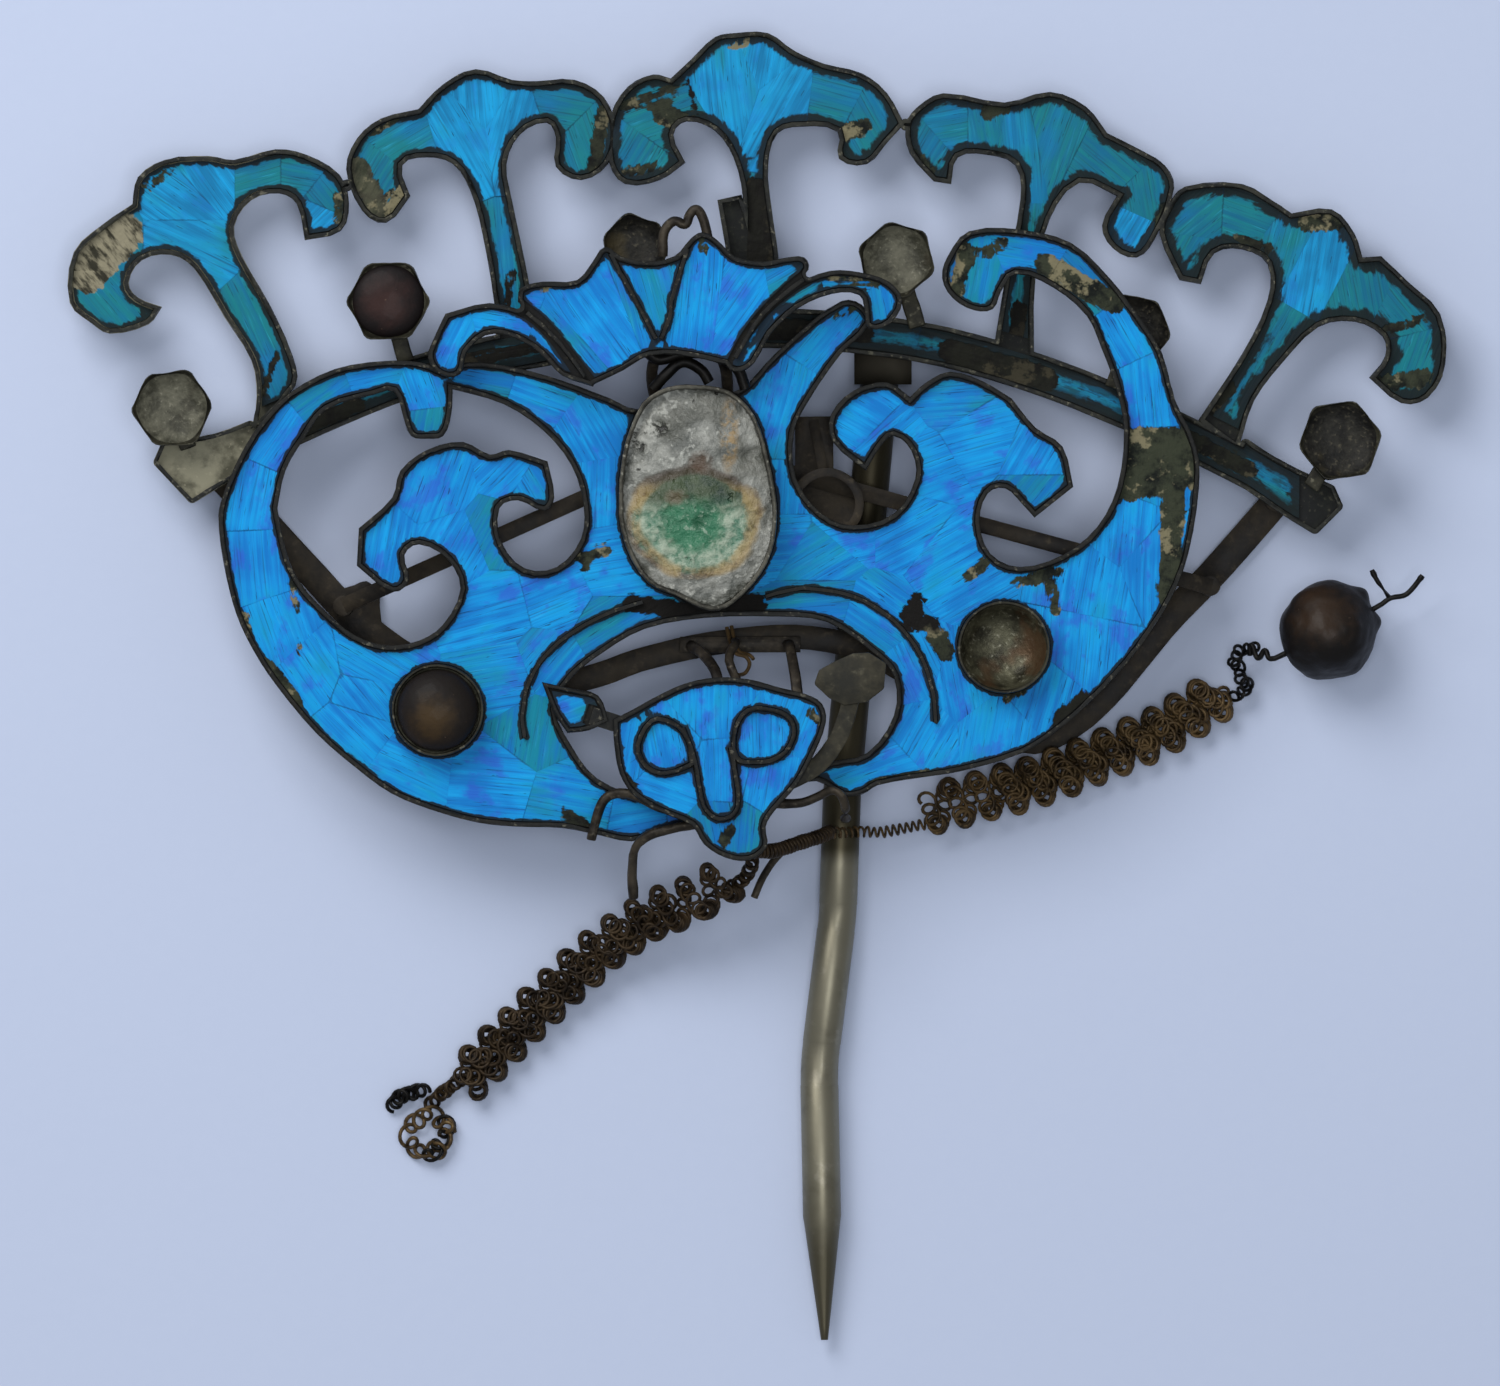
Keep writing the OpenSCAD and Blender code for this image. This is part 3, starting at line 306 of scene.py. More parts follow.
@dataclass(frozen=True)
class FeatherFinish:
    """Feather inlay with barbs along each patch, dark seams, worn places, grime, painted shade along the
    rims and painted glints.
    """

    PAINTED_GLINT: ClassVar[Colour] = rgb(60, 190, 244)
    SOOT: ClassVar[Colour] = rgb(14, 40, 50)
    SOIL_AND_SHADE: ClassVar[Colour] = rgb(15, 21, 20)
    SEAM: ClassVar[Colour] = rgb(6, 34, 60)
    EARTH: ClassVar[tuple[Colour, Colour]] = (rgb(18, 22, 20), rgb(56, 60, 46))
    CHALK: ClassVar[Colour] = rgb(134, 126, 98)
    TAR: ClassVar[Colour] = rgb(22, 20, 18)
    BONE: ClassVar[tuple[Colour, Colour]] = (rgb(50, 48, 38), rgb(144, 137, 114))

    name: str
    light: Colour = rgb(8, 164, 236)
    deep: Colour = rgb(4, 96, 186)
    teal: Colour = rgb(8, 136, 162)
    violet: Colour = rgb(46, 84, 204)
    thread: Colour = rgb(8, 44, 82)
    violet_share: float = 0.6

    def _vane(self, r: Recipe, streaks: Streaks) -> Socket:
        """Mixes the feather's own colours, with painted glints along the barbs.

        Args:
            r: The recipe.
            streaks: Its noises.

        Returns:
            The colour.
        """
        fine = streaks.fine
        band = streaks.along(0.07, 0.55)
        cloud = r.noise(r.place, 260.0, 2.0)
        hue = r.attribute("tone") + (band - 0.5) * 1.5 + (cloud - 0.5) * 1.3 + (fine - 0.5) * 0.4
        hue = hue.between(0.05, 0.85)
        shade = (fine * 0.45 + band * 0.2 + cloud * 0.35).between(0.60, 0.40)
        colour = r.mix(shade * 0.7, r.mix(hue, self.light, self.teal), self.deep)
        blotch = streaks.along(0.28, 0.42, 4.0, 0.6, (3, 7))
        tint = (blotch + (fine - 0.5) * 0.3).between(0.53, 0.65)
        colour = r.mix(tint * (1.0 - hue) * self.violet_share, colour, self.violet)
        colour = r.mix(streaks.hair.between(0.44, 0.26) * 0.45, colour, self.thread)
        fleck = streaks.along(0.55, 4.2, 3.0, 0.6, (1, 5)).between(0.655, 0.72)
        colour = r.mix(fleck * 0.8, colour, self.thread)
        # Painted glints: bright cyan flecks along the barbs stand in for the feather's iridescent sheen
        painted_glint = streaks.along(0.3, 5.0, 2.0, shift=(9, 2)).between(0.58, 0.74)
        return r.mix(painted_glint * 0.3 * (1.0 - shade), colour, self.PAINTED_GLINT)

    def _grime_and_rim_shade(self, r: Recipe, streaks: Streaks, colour: Shade) -> Socket:
        """Lays grime, cracks, the dark border and the seams over the feather; the dark border along the rims
        is partly grime and partly painted shade.

        Args:
            r: The recipe.
            streaks: Its noises.
            colour: The clean colour.

        Returns:
            The soiled colour.
        """
        smear, mottle = streaks.smear, streaks.mottle
        soot = (smear * 0.7 + mottle * 0.2 + r.attribute("grime") * 0.3).between(0.66, 0.80)
        colour = r.mix(soot * 0.7, colour, self.SOOT)
        crack = streaks.along(0.3, 6.5, 3.0, 0.6, (6, 3)).between(0.63, 0.69)
        colour = r.mix(crack * 0.75, colour, self.thread)
        # Darker near the rims: partly grime, partly painted shade where the rim walls shade the feather
        soil_and_shade = (r.attribute("edge") + (smear - 0.5) * 1.2 + (mottle - 0.5) * 0.5).between(0.62, 0.38)
        colour = r.mix(soil_and_shade * 0.96, colour, self.SOIL_AND_SHADE)
        open_seam = r.noise(r.place, 170.0, 2.0).between(0.50, 0.60)
        seam = (r.attribute("seam") + (streaks.hair - 0.5) * 0.2).between(0.10, 0.0)
        return r.mix(seam * (open_seam * 0.45 + 0.04), colour, self.SEAM)

    def _ground(self, r: Recipe, streaks: Streaks) -> Socket:
        """Mixes what shows where the feather is gone: earth, chalk, tar or bare pale paste.

        Args:
            r: The recipe.
            streaks: Its noises.

        Returns:
            The colour.
        """
        dark = r.attribute("dark")
        crust = r.mix(r.noise(r.place, 700.0, 4.0, 0.65).between(0.34, 0.60), *self.EARTH)
        chalk = r.noise(r.place, 420.0, 4.0, 0.7).between(0.54, 0.62)
        crust = r.mix(chalk * 0.85, crust, self.CHALK)
        crust = r.mix(dark, crust, self.TAR)
        bone = r.mix(streaks.smear.between(0.36, 0.56), *self.BONE)
        return r.mix((dark * -1.0).between(0.0, 1.0), crust, bone)

    def material(self) -> bpy.types.Material:
        """Builds the node material.

        Returns:
            The material.
        """
        r = Recipe(self.name)
        streaks = Streaks(r, r.node("ShaderNodeUVMap", {"uv_map": "barb"}).outputs[0])
        fine, hair, mottle = streaks.fine, streaks.hair, streaks.mottle
        torn = (r.attribute("loss") + (fine - 0.5) * 0.9 + (mottle - 0.5) * 0.7).between(0.0, 0.14)
        colour = self._grime_and_rim_shade(r, streaks, self._vane(r, streaks))
        colour = r.mix(torn, colour, self._ground(r, streaks))
        height = fine * 0.5 + hair * 0.35 + torn * (mottle * 2.2 - 1.6)
        return r.finish(colour, (hair * 0.2 + 0.46 + torn * 0.2), 0.0, r.bump(height, 0.07 * MM),
                        Specular_IOR_Level=0.15)


@dataclass(frozen=True)
class MetalFinish:
    """Old metal: two tones in patches, pale or coloured specks, a fine bump."""

    WORN: ClassVar[tuple[Colour, Colour]] = (rgb(86, 84, 68), rgb(150, 146, 124))
    WORN_PALE: ClassVar[Colour] = rgb(168, 162, 138)
    SHADE_BLACK: ClassVar[Colour] = rgb(14, 12, 10)

    name: str
    dark: Colour
    base: Colour
    pale: Colour
    metal: float = 0.5
    rough: float = 0.5
    grain: float = 600.0
    balance: float = 0.5
    speck: float = 0.6
    relief: float = 0.05
    bare_left: Optional[float] = None
    stain: Optional[Colour] = None
    shine: float = 0.2
    dark_tip_and_shaded_top: Optional[tuple[float, float]] = None
    shade_black_above: Optional[float] = None

    def _bare(self, r: Recipe, colour: Shade, patch: Value, fine: Value) -> Socket:
        """Bares the metal left of a place.

        Args:
            r: The recipe.
            colour: The colour elsewhere.
            patch: Broad noise.
            fine: Fine noise.

        Returns:
            The colour.
        """
        x, _, _ = r.parts(r.place)
        shaken = x + (patch - 0.5) * 2.0 * MM
        bare = shaken.between((self.bare_left + 0.6) * MM, (self.bare_left - 0.6) * MM)
        worn = r.mix(patch.between(0.35, 0.6), *self.WORN)
        worn = r.mix(fine.between(0.60, 0.72) * 0.7, worn, self.WORN_PALE)
        return r.mix(bare, colour, worn)

    def _tarnish_and_shade(self, r: Recipe, colour: Shade, patch: Value) -> Socket:
        """Darkens the tip of an upright piece, paints shade over it above a line where it runs under the
        plates, and paints it black where it runs under the band.

        Args:
            r: The recipe.
            colour: The colour between them.
            patch: Broad noise.

        Returns:
            The colour.
        """
        _, y, _ = r.parts(r.place)
        # The tip darkens with tarnish; above the top line the darkening is painted shade under the plates
        low, top = self.dark_tip_and_shaded_top
        colour = r.mix((y / MM + (patch - 0.5) * 6.0).between(low + 4, low - 4) * 0.7, colour, self.dark)
        colour = r.mix((y / MM + (patch - 0.5) * 2.0).between(top - 0.8, top + 0.8) * 0.9, colour,
                       self.dark)
        # Painted black shade where the piece runs under the band
        return r.mix((y / MM).between(self.shade_black_above - 0.5, self.shade_black_above + 0.5) * 0.85, colour,
                     self.SHADE_BLACK)

    def material(self) -> bpy.types.Material:
        """Builds the node material.

        Returns:
            The material.
        """
        r = Recipe(self.name)
        patch = r.noise(r.place, self.grain, 4.0, 0.6)
        fine = r.noise(r.place, self.grain * 4.5, 3.0, 0.6)
        share = (patch * 0.75 + fine * 0.25).between(self.balance - 0.14, self.balance + 0.14)
        colour = r.mix(share, self.dark, self.base)
        colour = r.mix(fine.between(0.58, 0.72) * self.speck, colour, self.pale)
        if self.stain:
            blot = r.noise(r.stretch(r.place, (1, 1, 1), (0.03, 0.01, 0)), self.grain * 0.35, 3.0)
            colour = r.mix(blot.between(0.56, 0.68) * 0.8, colour, self.stain)
        if self.bare_left is not None:
            colour = self._bare(r, colour, patch, fine)
        if self.dark_tip_and_shaded_top:
            colour = self._tarnish_and_shade(r, colour, patch)
        rough = (patch - 0.5) * 0.35 + self.rough
        return r.finish(colour, rough, self.metal, r.bump(patch * 0.6 + fine * 0.6, self.relief * MM),
                        Specular_IOR_Level=self.shine)


@dataclass(frozen=True)
class CrustGrain:
    """A place on the crust in millimetres, shaken by noise, and the noises that break the crust up."""

    recipe: Recipe

    @cached_property
    def rough(self) -> Value:
        """Lumps."""
        return self.recipe.noise(self.recipe.place, 420.0, 5.0, 0.65)

    @cached_property
    def fine(self) -> Value:
        """Grains."""
        return self.recipe.noise(self.recipe.place, 1900.0, 4.0, 0.6)

    @cached_property
    def broad(self) -> Value:
        """Wide swells."""
        return self.recipe.noise(self.recipe.place, 190.0, 2.0)

    @cached_property
    def dirty(self) -> Value:
        """Stains."""
        return self.recipe.noise(self.recipe.place, 260.0, 3.0)

    @cached_property
    def place(self) -> tuple[Value, Value]:
        """X and Y in millimetres, shaken by the lumps."""
        x, y, _ = self.recipe.parts(self.recipe.place)
        return x / MM + (self.rough - 0.5) * 0.8, y / MM + (self.rough - 0.5) * 0.7

    def spot(self, x: float, y: float, wide: float, tall: float) -> Value:
        """Makes a soft spot.

        Args:
            x: Its middle in millimetres.
            y: Its middle in millimetres.
            wide: Half its width in millimetres.
            tall: Half its height in millimetres.

        Returns:
            1 in its middle and 0 outside.
        """
        u, v = (self.place[0] - x) / wide, (self.place[1] - y) / tall
        return (u * u + v * v + (self.rough - 0.5) * 1.8 + (self.fine - 0.5) * 1.2).between(1.25, 0.1)


@dataclass(frozen=True)
class CrustFinish:
    """Broken paste of the oval setting: grey crust, a rusty rim and green in the middle."""

    GREY: ClassVar[tuple[Colour, Colour]] = (rgb(88, 90, 84), rgb(150, 150, 142))
    GRAINS: ClassVar[Colour] = rgb(196, 196, 186)
    DUSK: ClassVar[Colour] = rgb(80, 80, 70)
    PAINTED_HIGHLIGHT: ClassVar[Colour] = rgb(192, 192, 182)
    PIT: ClassVar[Colour] = rgb(40, 38, 34)
    OCHRE: ClassVar[Colour] = rgb(156, 124, 70)
    OLIVE: ClassVar[tuple[Colour, Colour]] = (rgb(30, 52, 38), rgb(66, 80, 54))
    MILK: ClassVar[tuple[Colour, Colour]] = (rgb(70, 116, 92), rgb(160, 174, 152))
    GREEN: ClassVar[tuple[Colour, Colour]] = (rgb(12, 82, 50), rgb(48, 116, 82))
    GREEN_GRAINS: ClassVar[Colour] = rgb(150, 172, 150)
    MUD: ClassVar[Colour] = rgb(96, 84, 62)
    RUST: ClassVar[tuple[Colour, Colour]] = (rgb(98, 70, 32), rgb(160, 136, 84))
    DARK_RUST: ClassVar[Colour] = rgb(66, 50, 34)
    BROWN: ClassVar[Colour] = rgb(78, 54, 32)

    name: str
    pool_x: float = -4.75
    pool_y: float = 12.5
    pool_wide: float = 5.0
    pool_tall: float = 4.2

    def _crust(self, r: Recipe, grain: CrustGrain, pit: Value) -> Socket:
        """Mixes the grey crust, with a painted highlight over its upper left.

        Args:
            r: The recipe.
            grain: Its noises.
            pit: How deep the pits are.

        Returns:
            The colour.
        """
        rough, fine = grain.rough, grain.fine
        x, y = grain.place
        grey = r.mix(rough.between(0.34, 0.62), *self.GREY)
        grey = r.mix(fine.between(0.55, 0.7) * 0.7, grey, self.GRAINS)
        grey = r.mix(grain.dirty.between(0.48, 0.60) * 0.6, grey, self.DUSK)
        # Painted highlight: paler towards the upper left and in a spot on the left edge
        pale = (y * 0.7 - x * 0.5).between(16.0, 18.2) * (rough * 0.6 + fine * 0.4).between(0.49, 0.58)
        pale = (pale + grain.spot(-9.1, 13.0, 0.6, 0.9)).between(0.0, 1.0)
        grey = r.mix(pale * 0.6, grey, self.PAINTED_HIGHLIGHT)
        grey = r.mix(pit.between(0.0, 1.0) * 0.85, grey, self.PIT)
        streak = grain.spot(-2.1, 18.8, 0.8, 3.1) * (rough * 0.5 + fine * 0.5).between(0.42, 0.56)
        return r.mix(streak * 0.8, grey, self.OCHRE)

    def _pool(self, r: Recipe, grain: CrustGrain, ring: Value, v: Value) -> Socket:
        """Mixes the green middle.

        Args:
            r: The recipe.
            grain: Its noises.
            ring: Distance from the middle, 1 at the border.
            v: Height over the middle, 1 at the border.

        Returns:
            The colour.
        """
        rough, fine, dirty = grain.rough, grain.fine, grain.dirty
        olive = r.mix(rough.between(0.36, 0.58), *self.OLIVE)
        milk = r.mix((rough * 0.6 + fine * 0.4).between(0.40, 0.60), *self.MILK)
        green = r.mix(rough.between(0.36, 0.58), *self.GREEN)
        green = r.mix(fine.between(0.56, 0.68) * 0.7, green, self.GREEN_GRAINS)
        pool = r.mix((ring + (dirty - 0.5) * 0.7 + (fine - 0.5) * 0.3).between(0.38, 0.66), green, milk)
        pool = r.mix((v * 1.6 + (dirty - 0.5) * 0.8).between(0.1, 0.8), pool, olive)
        return r.mix(grain.spot(-6.1, 14.3, 0.95, 0.75) * 0.85, pool, self.MUD)

    def material(self) -> bpy.types.Material:
        """Builds the node material.

        Returns:
            The material.
        """
        r = Recipe(self.name)
        grain = CrustGrain(r)
        rough, fine, broad = grain.rough, grain.fine, grain.broad
        pit = r.noise(r.place, 700.0, 2.0).between(0.31, 0.27)
        hollow = grain.spot(-8.8, 18.4, 0.8, 0.9) + grain.spot(-7.7, 19.2, 0.9, 0.6)
        pit = pit + hollow * fine.between(0.56, 0.46) * rough.between(0.56, 0.46)
        u = (grain.place[0] - self.pool_x) / self.pool_wide
        v = (grain.place[1] - self.pool_y) / self.pool_tall
        ring = (u * u + v * v).power(0.5) + (rough - 0.5) * 0.22 + (broad - 0.5) * 0.12
        rust = r.mix((rough * 0.7 + fine * 0.3).between(0.40, 0.60), *self.RUST)
        rust = r.mix((v + (rough - 0.5) * 0.4).between(0.45, 0.8), rust, self.DARK_RUST)
        border = (ring - 0.93 + (broad - 0.5) * 0.2).power(2.0).between(0.022, 0.0)
        border = border * (rough * 0.6 + grain.dirty * 0.4).between(0.36, 0.52)
        colour = r.mix(ring.between(0.99, 0.90), self._crust(r, grain, pit),
                       self._pool(r, grain, ring, v))
        colour = r.mix(border * 0.8, colour, rust)
        colour = r.mix(grain.spot(-4.3, 16.8, 1.0, 0.9) * 0.85, colour, self.BROWN)
        height = rough * 1.2 + fine * 0.6 - pit * 0.6
        return r.finish(colour, (fine - 0.5) * 0.3 + 0.42, 0.0, r.bump(height, 0.3 * MM))


@dataclass(frozen=True)
class StoneFinish:
    """A dark glass or resin piece with a cloudy inside and a painted glow that lightens its middle."""

    DUST: ClassVar[Colour] = rgb(120, 96, 76)

    name: str
    dark: Colour = rgb(38, 20, 15)
    painted_glow: Colour = rgb(92, 56, 28)
    centre: tuple[float, float] = (0.0, 0.0)
    reach: float = 2.2
    rough: float = 0.22
    coat: float = 0.5

    def material(self) -> bpy.types.Material:
        """Builds the node material.

        Returns:
            The material.
        """
        r = Recipe(self.name)
        x, y, _ = r.parts(r.place)
        u = (x / MM - self.centre[0]) / self.reach
        v = (y / MM - self.centre[1]) / self.reach
        cloud = r.noise(r.place, 650.0, 4.0, 0.6)
        fine = r.noise(r.place, 2600.0, 3.0)
        # Lighter middle, darker edges: partly the cloudy inside, partly painted glow of light through the
        # stone
        inner = ((u * u + v * v).power(0.5) + (cloud - 0.5) * 1.1).between(1.0, 0.15)
        colour = r.mix(inner * 0.8, self.dark, self.painted_glow)
        colour = r.mix(fine.between(0.70, 0.78) * 0.35, colour, self.DUST)
        return r.finish(colour, (cloud - 0.5) * 0.2 + self.rough, 0.0,
                        r.bump(cloud + fine * 0.3, 0.05 * MM), Coat_Weight=self.coat, Coat_Roughness=0.12,
                        Specular_IOR_Level=0.2)


class Looks(Enum):
    """Every finish of the ornament."""

    FRONT = FeatherFinish("front_feather")
    REAR = FeatherFinish("rear_feather", light=rgb(20, 166, 228), deep=rgb(6, 92, 138),
                         teal=rgb(16, 124, 134), violet=rgb(30, 104, 196), thread=rgb(8, 50, 66),
                         violet_share=0.3)
    # The trays' channel floors and lower walls are dark partly from dirt, partly as painted shade in the
    # narrow channels
    DIRT = MetalFinish("dirt_and_shade_in_channels", rgb(12, 12, 12), rgb(34, 33, 28), rgb(84, 80, 66), metal=0.1,
                       rough=0.62, grain=500.0, balance=0.56, speck=0.25)
    FAN_DIRT = MetalFinish("fan_dirt_and_shade_in_channels", rgb(12, 14, 14), rgb(36, 38, 32), rgb(96, 92, 76),
                           metal=0.1, rough=0.6, grain=480.0, balance=0.56, speck=0.35, bare_left=-37.0)
    RIM = MetalFinish("rim_metal", rgb(12, 13, 12), rgb(35, 34, 30), rgb(116, 112, 96), metal=0.25,
                      rough=0.45, grain=520.0, balance=0.55, speck=0.45)
    FAN_RIM = MetalFinish("fan_rim_metal", rgb(14, 16, 15), rgb(48, 48, 41), rgb(124, 120, 102),
                          metal=0.25, rough=0.45, grain=520.0, balance=0.53, speck=0.5)
    STRIP = MetalFinish("strip_metal", rgb(20, 17, 15), rgb(52, 45, 35), rgb(84, 74, 58), metal=0.3,
                        rough=0.5, grain=260.0, balance=0.5, speck=0.3)
    # The shank's top is painted dark as shade under the plates, and black as shade under the band
    SHANK = MetalFinish("shank_metal", rgb(60, 54, 38), rgb(128, 123, 106), rgb(168, 162, 148),
                        metal=0.75, rough=0.4, grain=170.0, balance=0.36, speck=0.25, relief=0.02,
                        dark_tip_and_shaded_top=(-39.0, -12.6), shade_black_above=21.1)
    CUP = MetalFinish("cup_patina", rgb(26, 25, 20), rgb(62, 60, 48), rgb(128, 124, 106), metal=0.35,
                      rough=0.5, grain=420.0, balance=0.52, speck=0.45)
    BOWL = MetalFinish("cup_inside", rgb(56, 55, 45), rgb(98, 96, 82), rgb(156, 152, 134), metal=0.15,
                       rough=0.5, grain=700.0, balance=0.5, speck=0.3, relief=0.1, stain=rgb(52, 48, 38))
    DARK_BOWL = MetalFinish("cup_inside_dark", rgb(18, 17, 15), rgb(48, 46, 40), rgb(124, 116, 94),
                            metal=0.15, rough=0.55, grain=620.0, balance=0.52, speck=0.25, relief=0.1,
                            stain=rgb(70, 62, 42))
    COPPER_BOWL = MetalFinish("wing_cup_inside", rgb(42, 40, 30), rgb(86, 84, 66), rgb(164, 160, 142),
                              metal=0.4, rough=0.38, grain=600.0, balance=0.5, speck=0.4, relief=0.1,
                              stain=rgb(84, 62, 42))
    DISC = MetalFinish("disc_patina", rgb(34, 33, 27), rgb(68, 64, 51), rgb(96, 92, 76), metal=0.2,
                       rough=0.55, grain=300.0, balance=0.5, speck=0.4)
    BEZEL = MetalFinish("bezel_patina", rgb(38, 37, 32), rgb(84, 82, 73), rgb(158, 155, 142), metal=0.4,
                        rough=0.42, grain=560.0, balance=0.48, speck=0.55, relief=0.05)
    CRUST = CrustFinish("bezel_crust")
    COIL = MetalFinish("coil_wire_metal", rgb(44, 34, 22), rgb(98, 78, 50), rgb(136, 116, 82), metal=0.4,
                       rough=0.45, grain=700.0, balance=0.48, speck=0.4, relief=0.02)
    DARK_COIL = MetalFinish("dark_coil_wire_metal", rgb(26, 19, 13), rgb(60, 47, 31), rgb(98, 82, 58),
                            metal=0.4, rough=0.45, grain=700.0, balance=0.48, speck=0.35, relief=0.02)
    BLACK_WIRE = MetalFinish("black_wire_metal", rgb(9, 8, 8), rgb(26, 24, 21), rgb(54, 49, 42),
                             metal=0.3, rough=0.45, grain=900.0, balance=0.5, speck=0.3, relief=0.02)
    WIRE = MetalFinish("bent_wire_metal", rgb(28, 24, 20), rgb(66, 59, 49), rgb(104, 96, 82), metal=0.35,
                       rough=0.48, grain=480.0, balance=0.5, speck=0.4, relief=0.03)
    WING_STONE = StoneFinish("wing_cabochon", dark=rgb(24, 18, 14), painted_glow=rgb(68, 50, 24),
                             centre=(-24.2, -2.3), reach=2.3, rough=0.6, coat=0.03)
    FAN_STONE = StoneFinish("fan_cabochon", dark=rgb(18, 12, 12), painted_glow=rgb(54, 30, 26),
                            centre=(-27.9, 28.9), reach=2.6, rough=0.6, coat=0.03)
    BEAD = StoneFinish("bead_glass", dark=rgb(13, 9, 7), painted_glow=rgb(52, 36, 22), centre=(42.2, 5.6),
                       reach=3.4, rough=0.5, coat=0.03)

    def material(self) -> bpy.types.Material:
        """The finish's material, made on its first use."""
        found = bpy.data.materials.get(self.value.name)
        return found or self.value.material()


# Mesh helpers


def hashed(*seeds: float) -> float:
    """Gives a repeatable number from 0 to 1 for some seeds.

    Args:
        seeds: Any numbers.

    Returns:
        The number.
    """
    total = sum(s * f for s, f in zip(seeds, (12.9898, 78.233, 37.719)))
    return math.sin(total) * 43758.5453 % 1.0


def welded(node: str) -> bmesh.types.BMesh:
    """Copies a CAD node's mesh and joins its vertices.

    Args:
        node: Name of the node.

    Returns:
        The copy.
    """
    bm = bmesh.new()
    bm.from_mesh(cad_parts[node].data)
    bmesh.ops.remove_doubles(bm, verts=bm.verts, dist=WELD)
    return bm


def merge_flat(bm: bmesh.types.BMesh) -> None:
    """Clears a mesh's flat faces of extra edges."""
    bmesh.ops.dissolve_limit(bm, angle_limit=FLAT_ANGLE, verts=bm.verts, edges=bm.edges)


def triangulate_wide(bm: bmesh.types.BMesh) -> None:
    """Splits a mesh's faces of many corners."""
    bmesh.ops.triangulate(bm, faces=[f for f in bm.faces if len(f.verts) > MAX_CORNERS])


def wobble(bm: bmesh.types.BMesh, amount: float, scale: float, low: float = -1.0,
           seed: float = 0.0) -> None:
    """Moves vertices above a level by smooth noise.

    Args:
        bm: The mesh.
        amount: Largest move in millimetres.
        scale: Waves per millimetre.
        low: Level in millimetres below which nothing moves.
        seed: Shifts the pattern.
    """
    for vert in bm.verts:
        if vert.co.z > low * MM:
            vert.co += noise.noise_vector(vert.co / MM * scale + Vector((seed, 0, 0))) * amount * MM


def cut_grid(bm: bmesh.types.BMesh, step: float, turn: float = 0.0) -> None:
    """Cuts a mesh by two families of upright planes.

    Args:
        bm: The mesh.
        step: Distance between planes in millimetres.
        turn: Angle of the first family in degrees.
    """
    for angle in (math.radians(turn), math.radians(turn + 90)):
        way = Vector((math.cos(angle), math.sin(angle), 0))
        along = [vert.co.dot(way) for vert in bm.verts]
        place = min(along) + step * MM * 0.5
        while place < max(along):
            bmesh.ops.bisect_plane(bm, geom=[*bm.verts, *bm.edges, *bm.faces], dist=CUT_DISTANCE,
                                   plane_co=way * place, plane_no=way)
            place += step * MM


def thicken(bm: bmesh.types.BMesh, bottom: float, top: Callable[[Vector], float]) -> None:
    """Turns a flat open sheet into a closed layer.

    Args:
        bm: A sheet that faces up.
        bottom: Height of the underside in millimetres.
        top: Gives the upper height in millimetres at a place.
    """
    for vert in bm.verts:
        vert.co.z = bottom * MM
    made = bmesh.ops.extrude_face_region(bm, geom=bm.faces[:])
    for vert in (v for v in made["geom"] if isinstance(v, bmesh.types.BMVert)):
        vert.co.z = top(vert.co) * MM
    bmesh.ops.recalc_face_normals(bm, faces=bm.faces)


def soften(bm: bmesh.types.BMesh, width: float, chosen: Callable[[bmesh.types.BMEdge], bool],
           segments: int = 2) -> None:
    """Rounds the chosen sharp edges.

    Args:
        bm: The mesh.
        width: Width of the rounding in millimetres.
        chosen: Tells which of the sharp edges are rounded.
        segments: Faces across the rounding.
    """
    edges = [e for e in bm.edges
             if e.is_manifold and e.calc_face_angle(0.0) > SHARP_ANGLE and chosen(e)]
    bmesh.ops.bevel(bm, geom=edges, offset=width * MM, offset_type="OFFSET", affect="EDGES",
                    segments=segments, profile=0.5, material=-1, clamp_overlap=True)


def off_split(x: float, split: Optional[float]) -> bool:
    """Tells whether a place is off the straight border, if there is one, both x in millimetres."""
    return split is None or abs(x - split) > AT_SPLIT


def spread(bm: bmesh.types.BMesh, split: Optional[float] = None) -> None:
    """Moves the borders of a flat sheet outward to the rim, in its own plane.

    Args:
        bm: The sheet, facing up.
        split: X in millimetres of a straight border that stays where it is, if any.
    """
    push: dict[bmesh.types.BMVert, Vector] = {}
    for edge in (e for e in bm.edges if e.is_boundary):
        loop = edge.link_loops[0]
        ends = (loop.vert, loop.link_loop_next.vert)
        way = (ends[1].co - ends[0].co).normalized()
        for vert in ends:
            push[vert] = push.get(vert, Vector()) + Vector((way.y, -way.x, 0))
    for vert, out in push.items():
        if off_split(vert.co.x / MM, split):
            vert.co += out.normalized() * TO_RIM * MM


def join(whole: bmesh.types.BMesh, part: bmesh.types.BMesh) -> None:
    """Adds one mesh to another and frees it.

    Args:
        whole: The mesh that grows.
        part: The mesh that is added.
    """
    mesh = bpy.data.meshes.new("part")
    part.to_mesh(mesh)
    part.free()
    whole.from_mesh(mesh)
    bpy.data.meshes.remove(mesh)


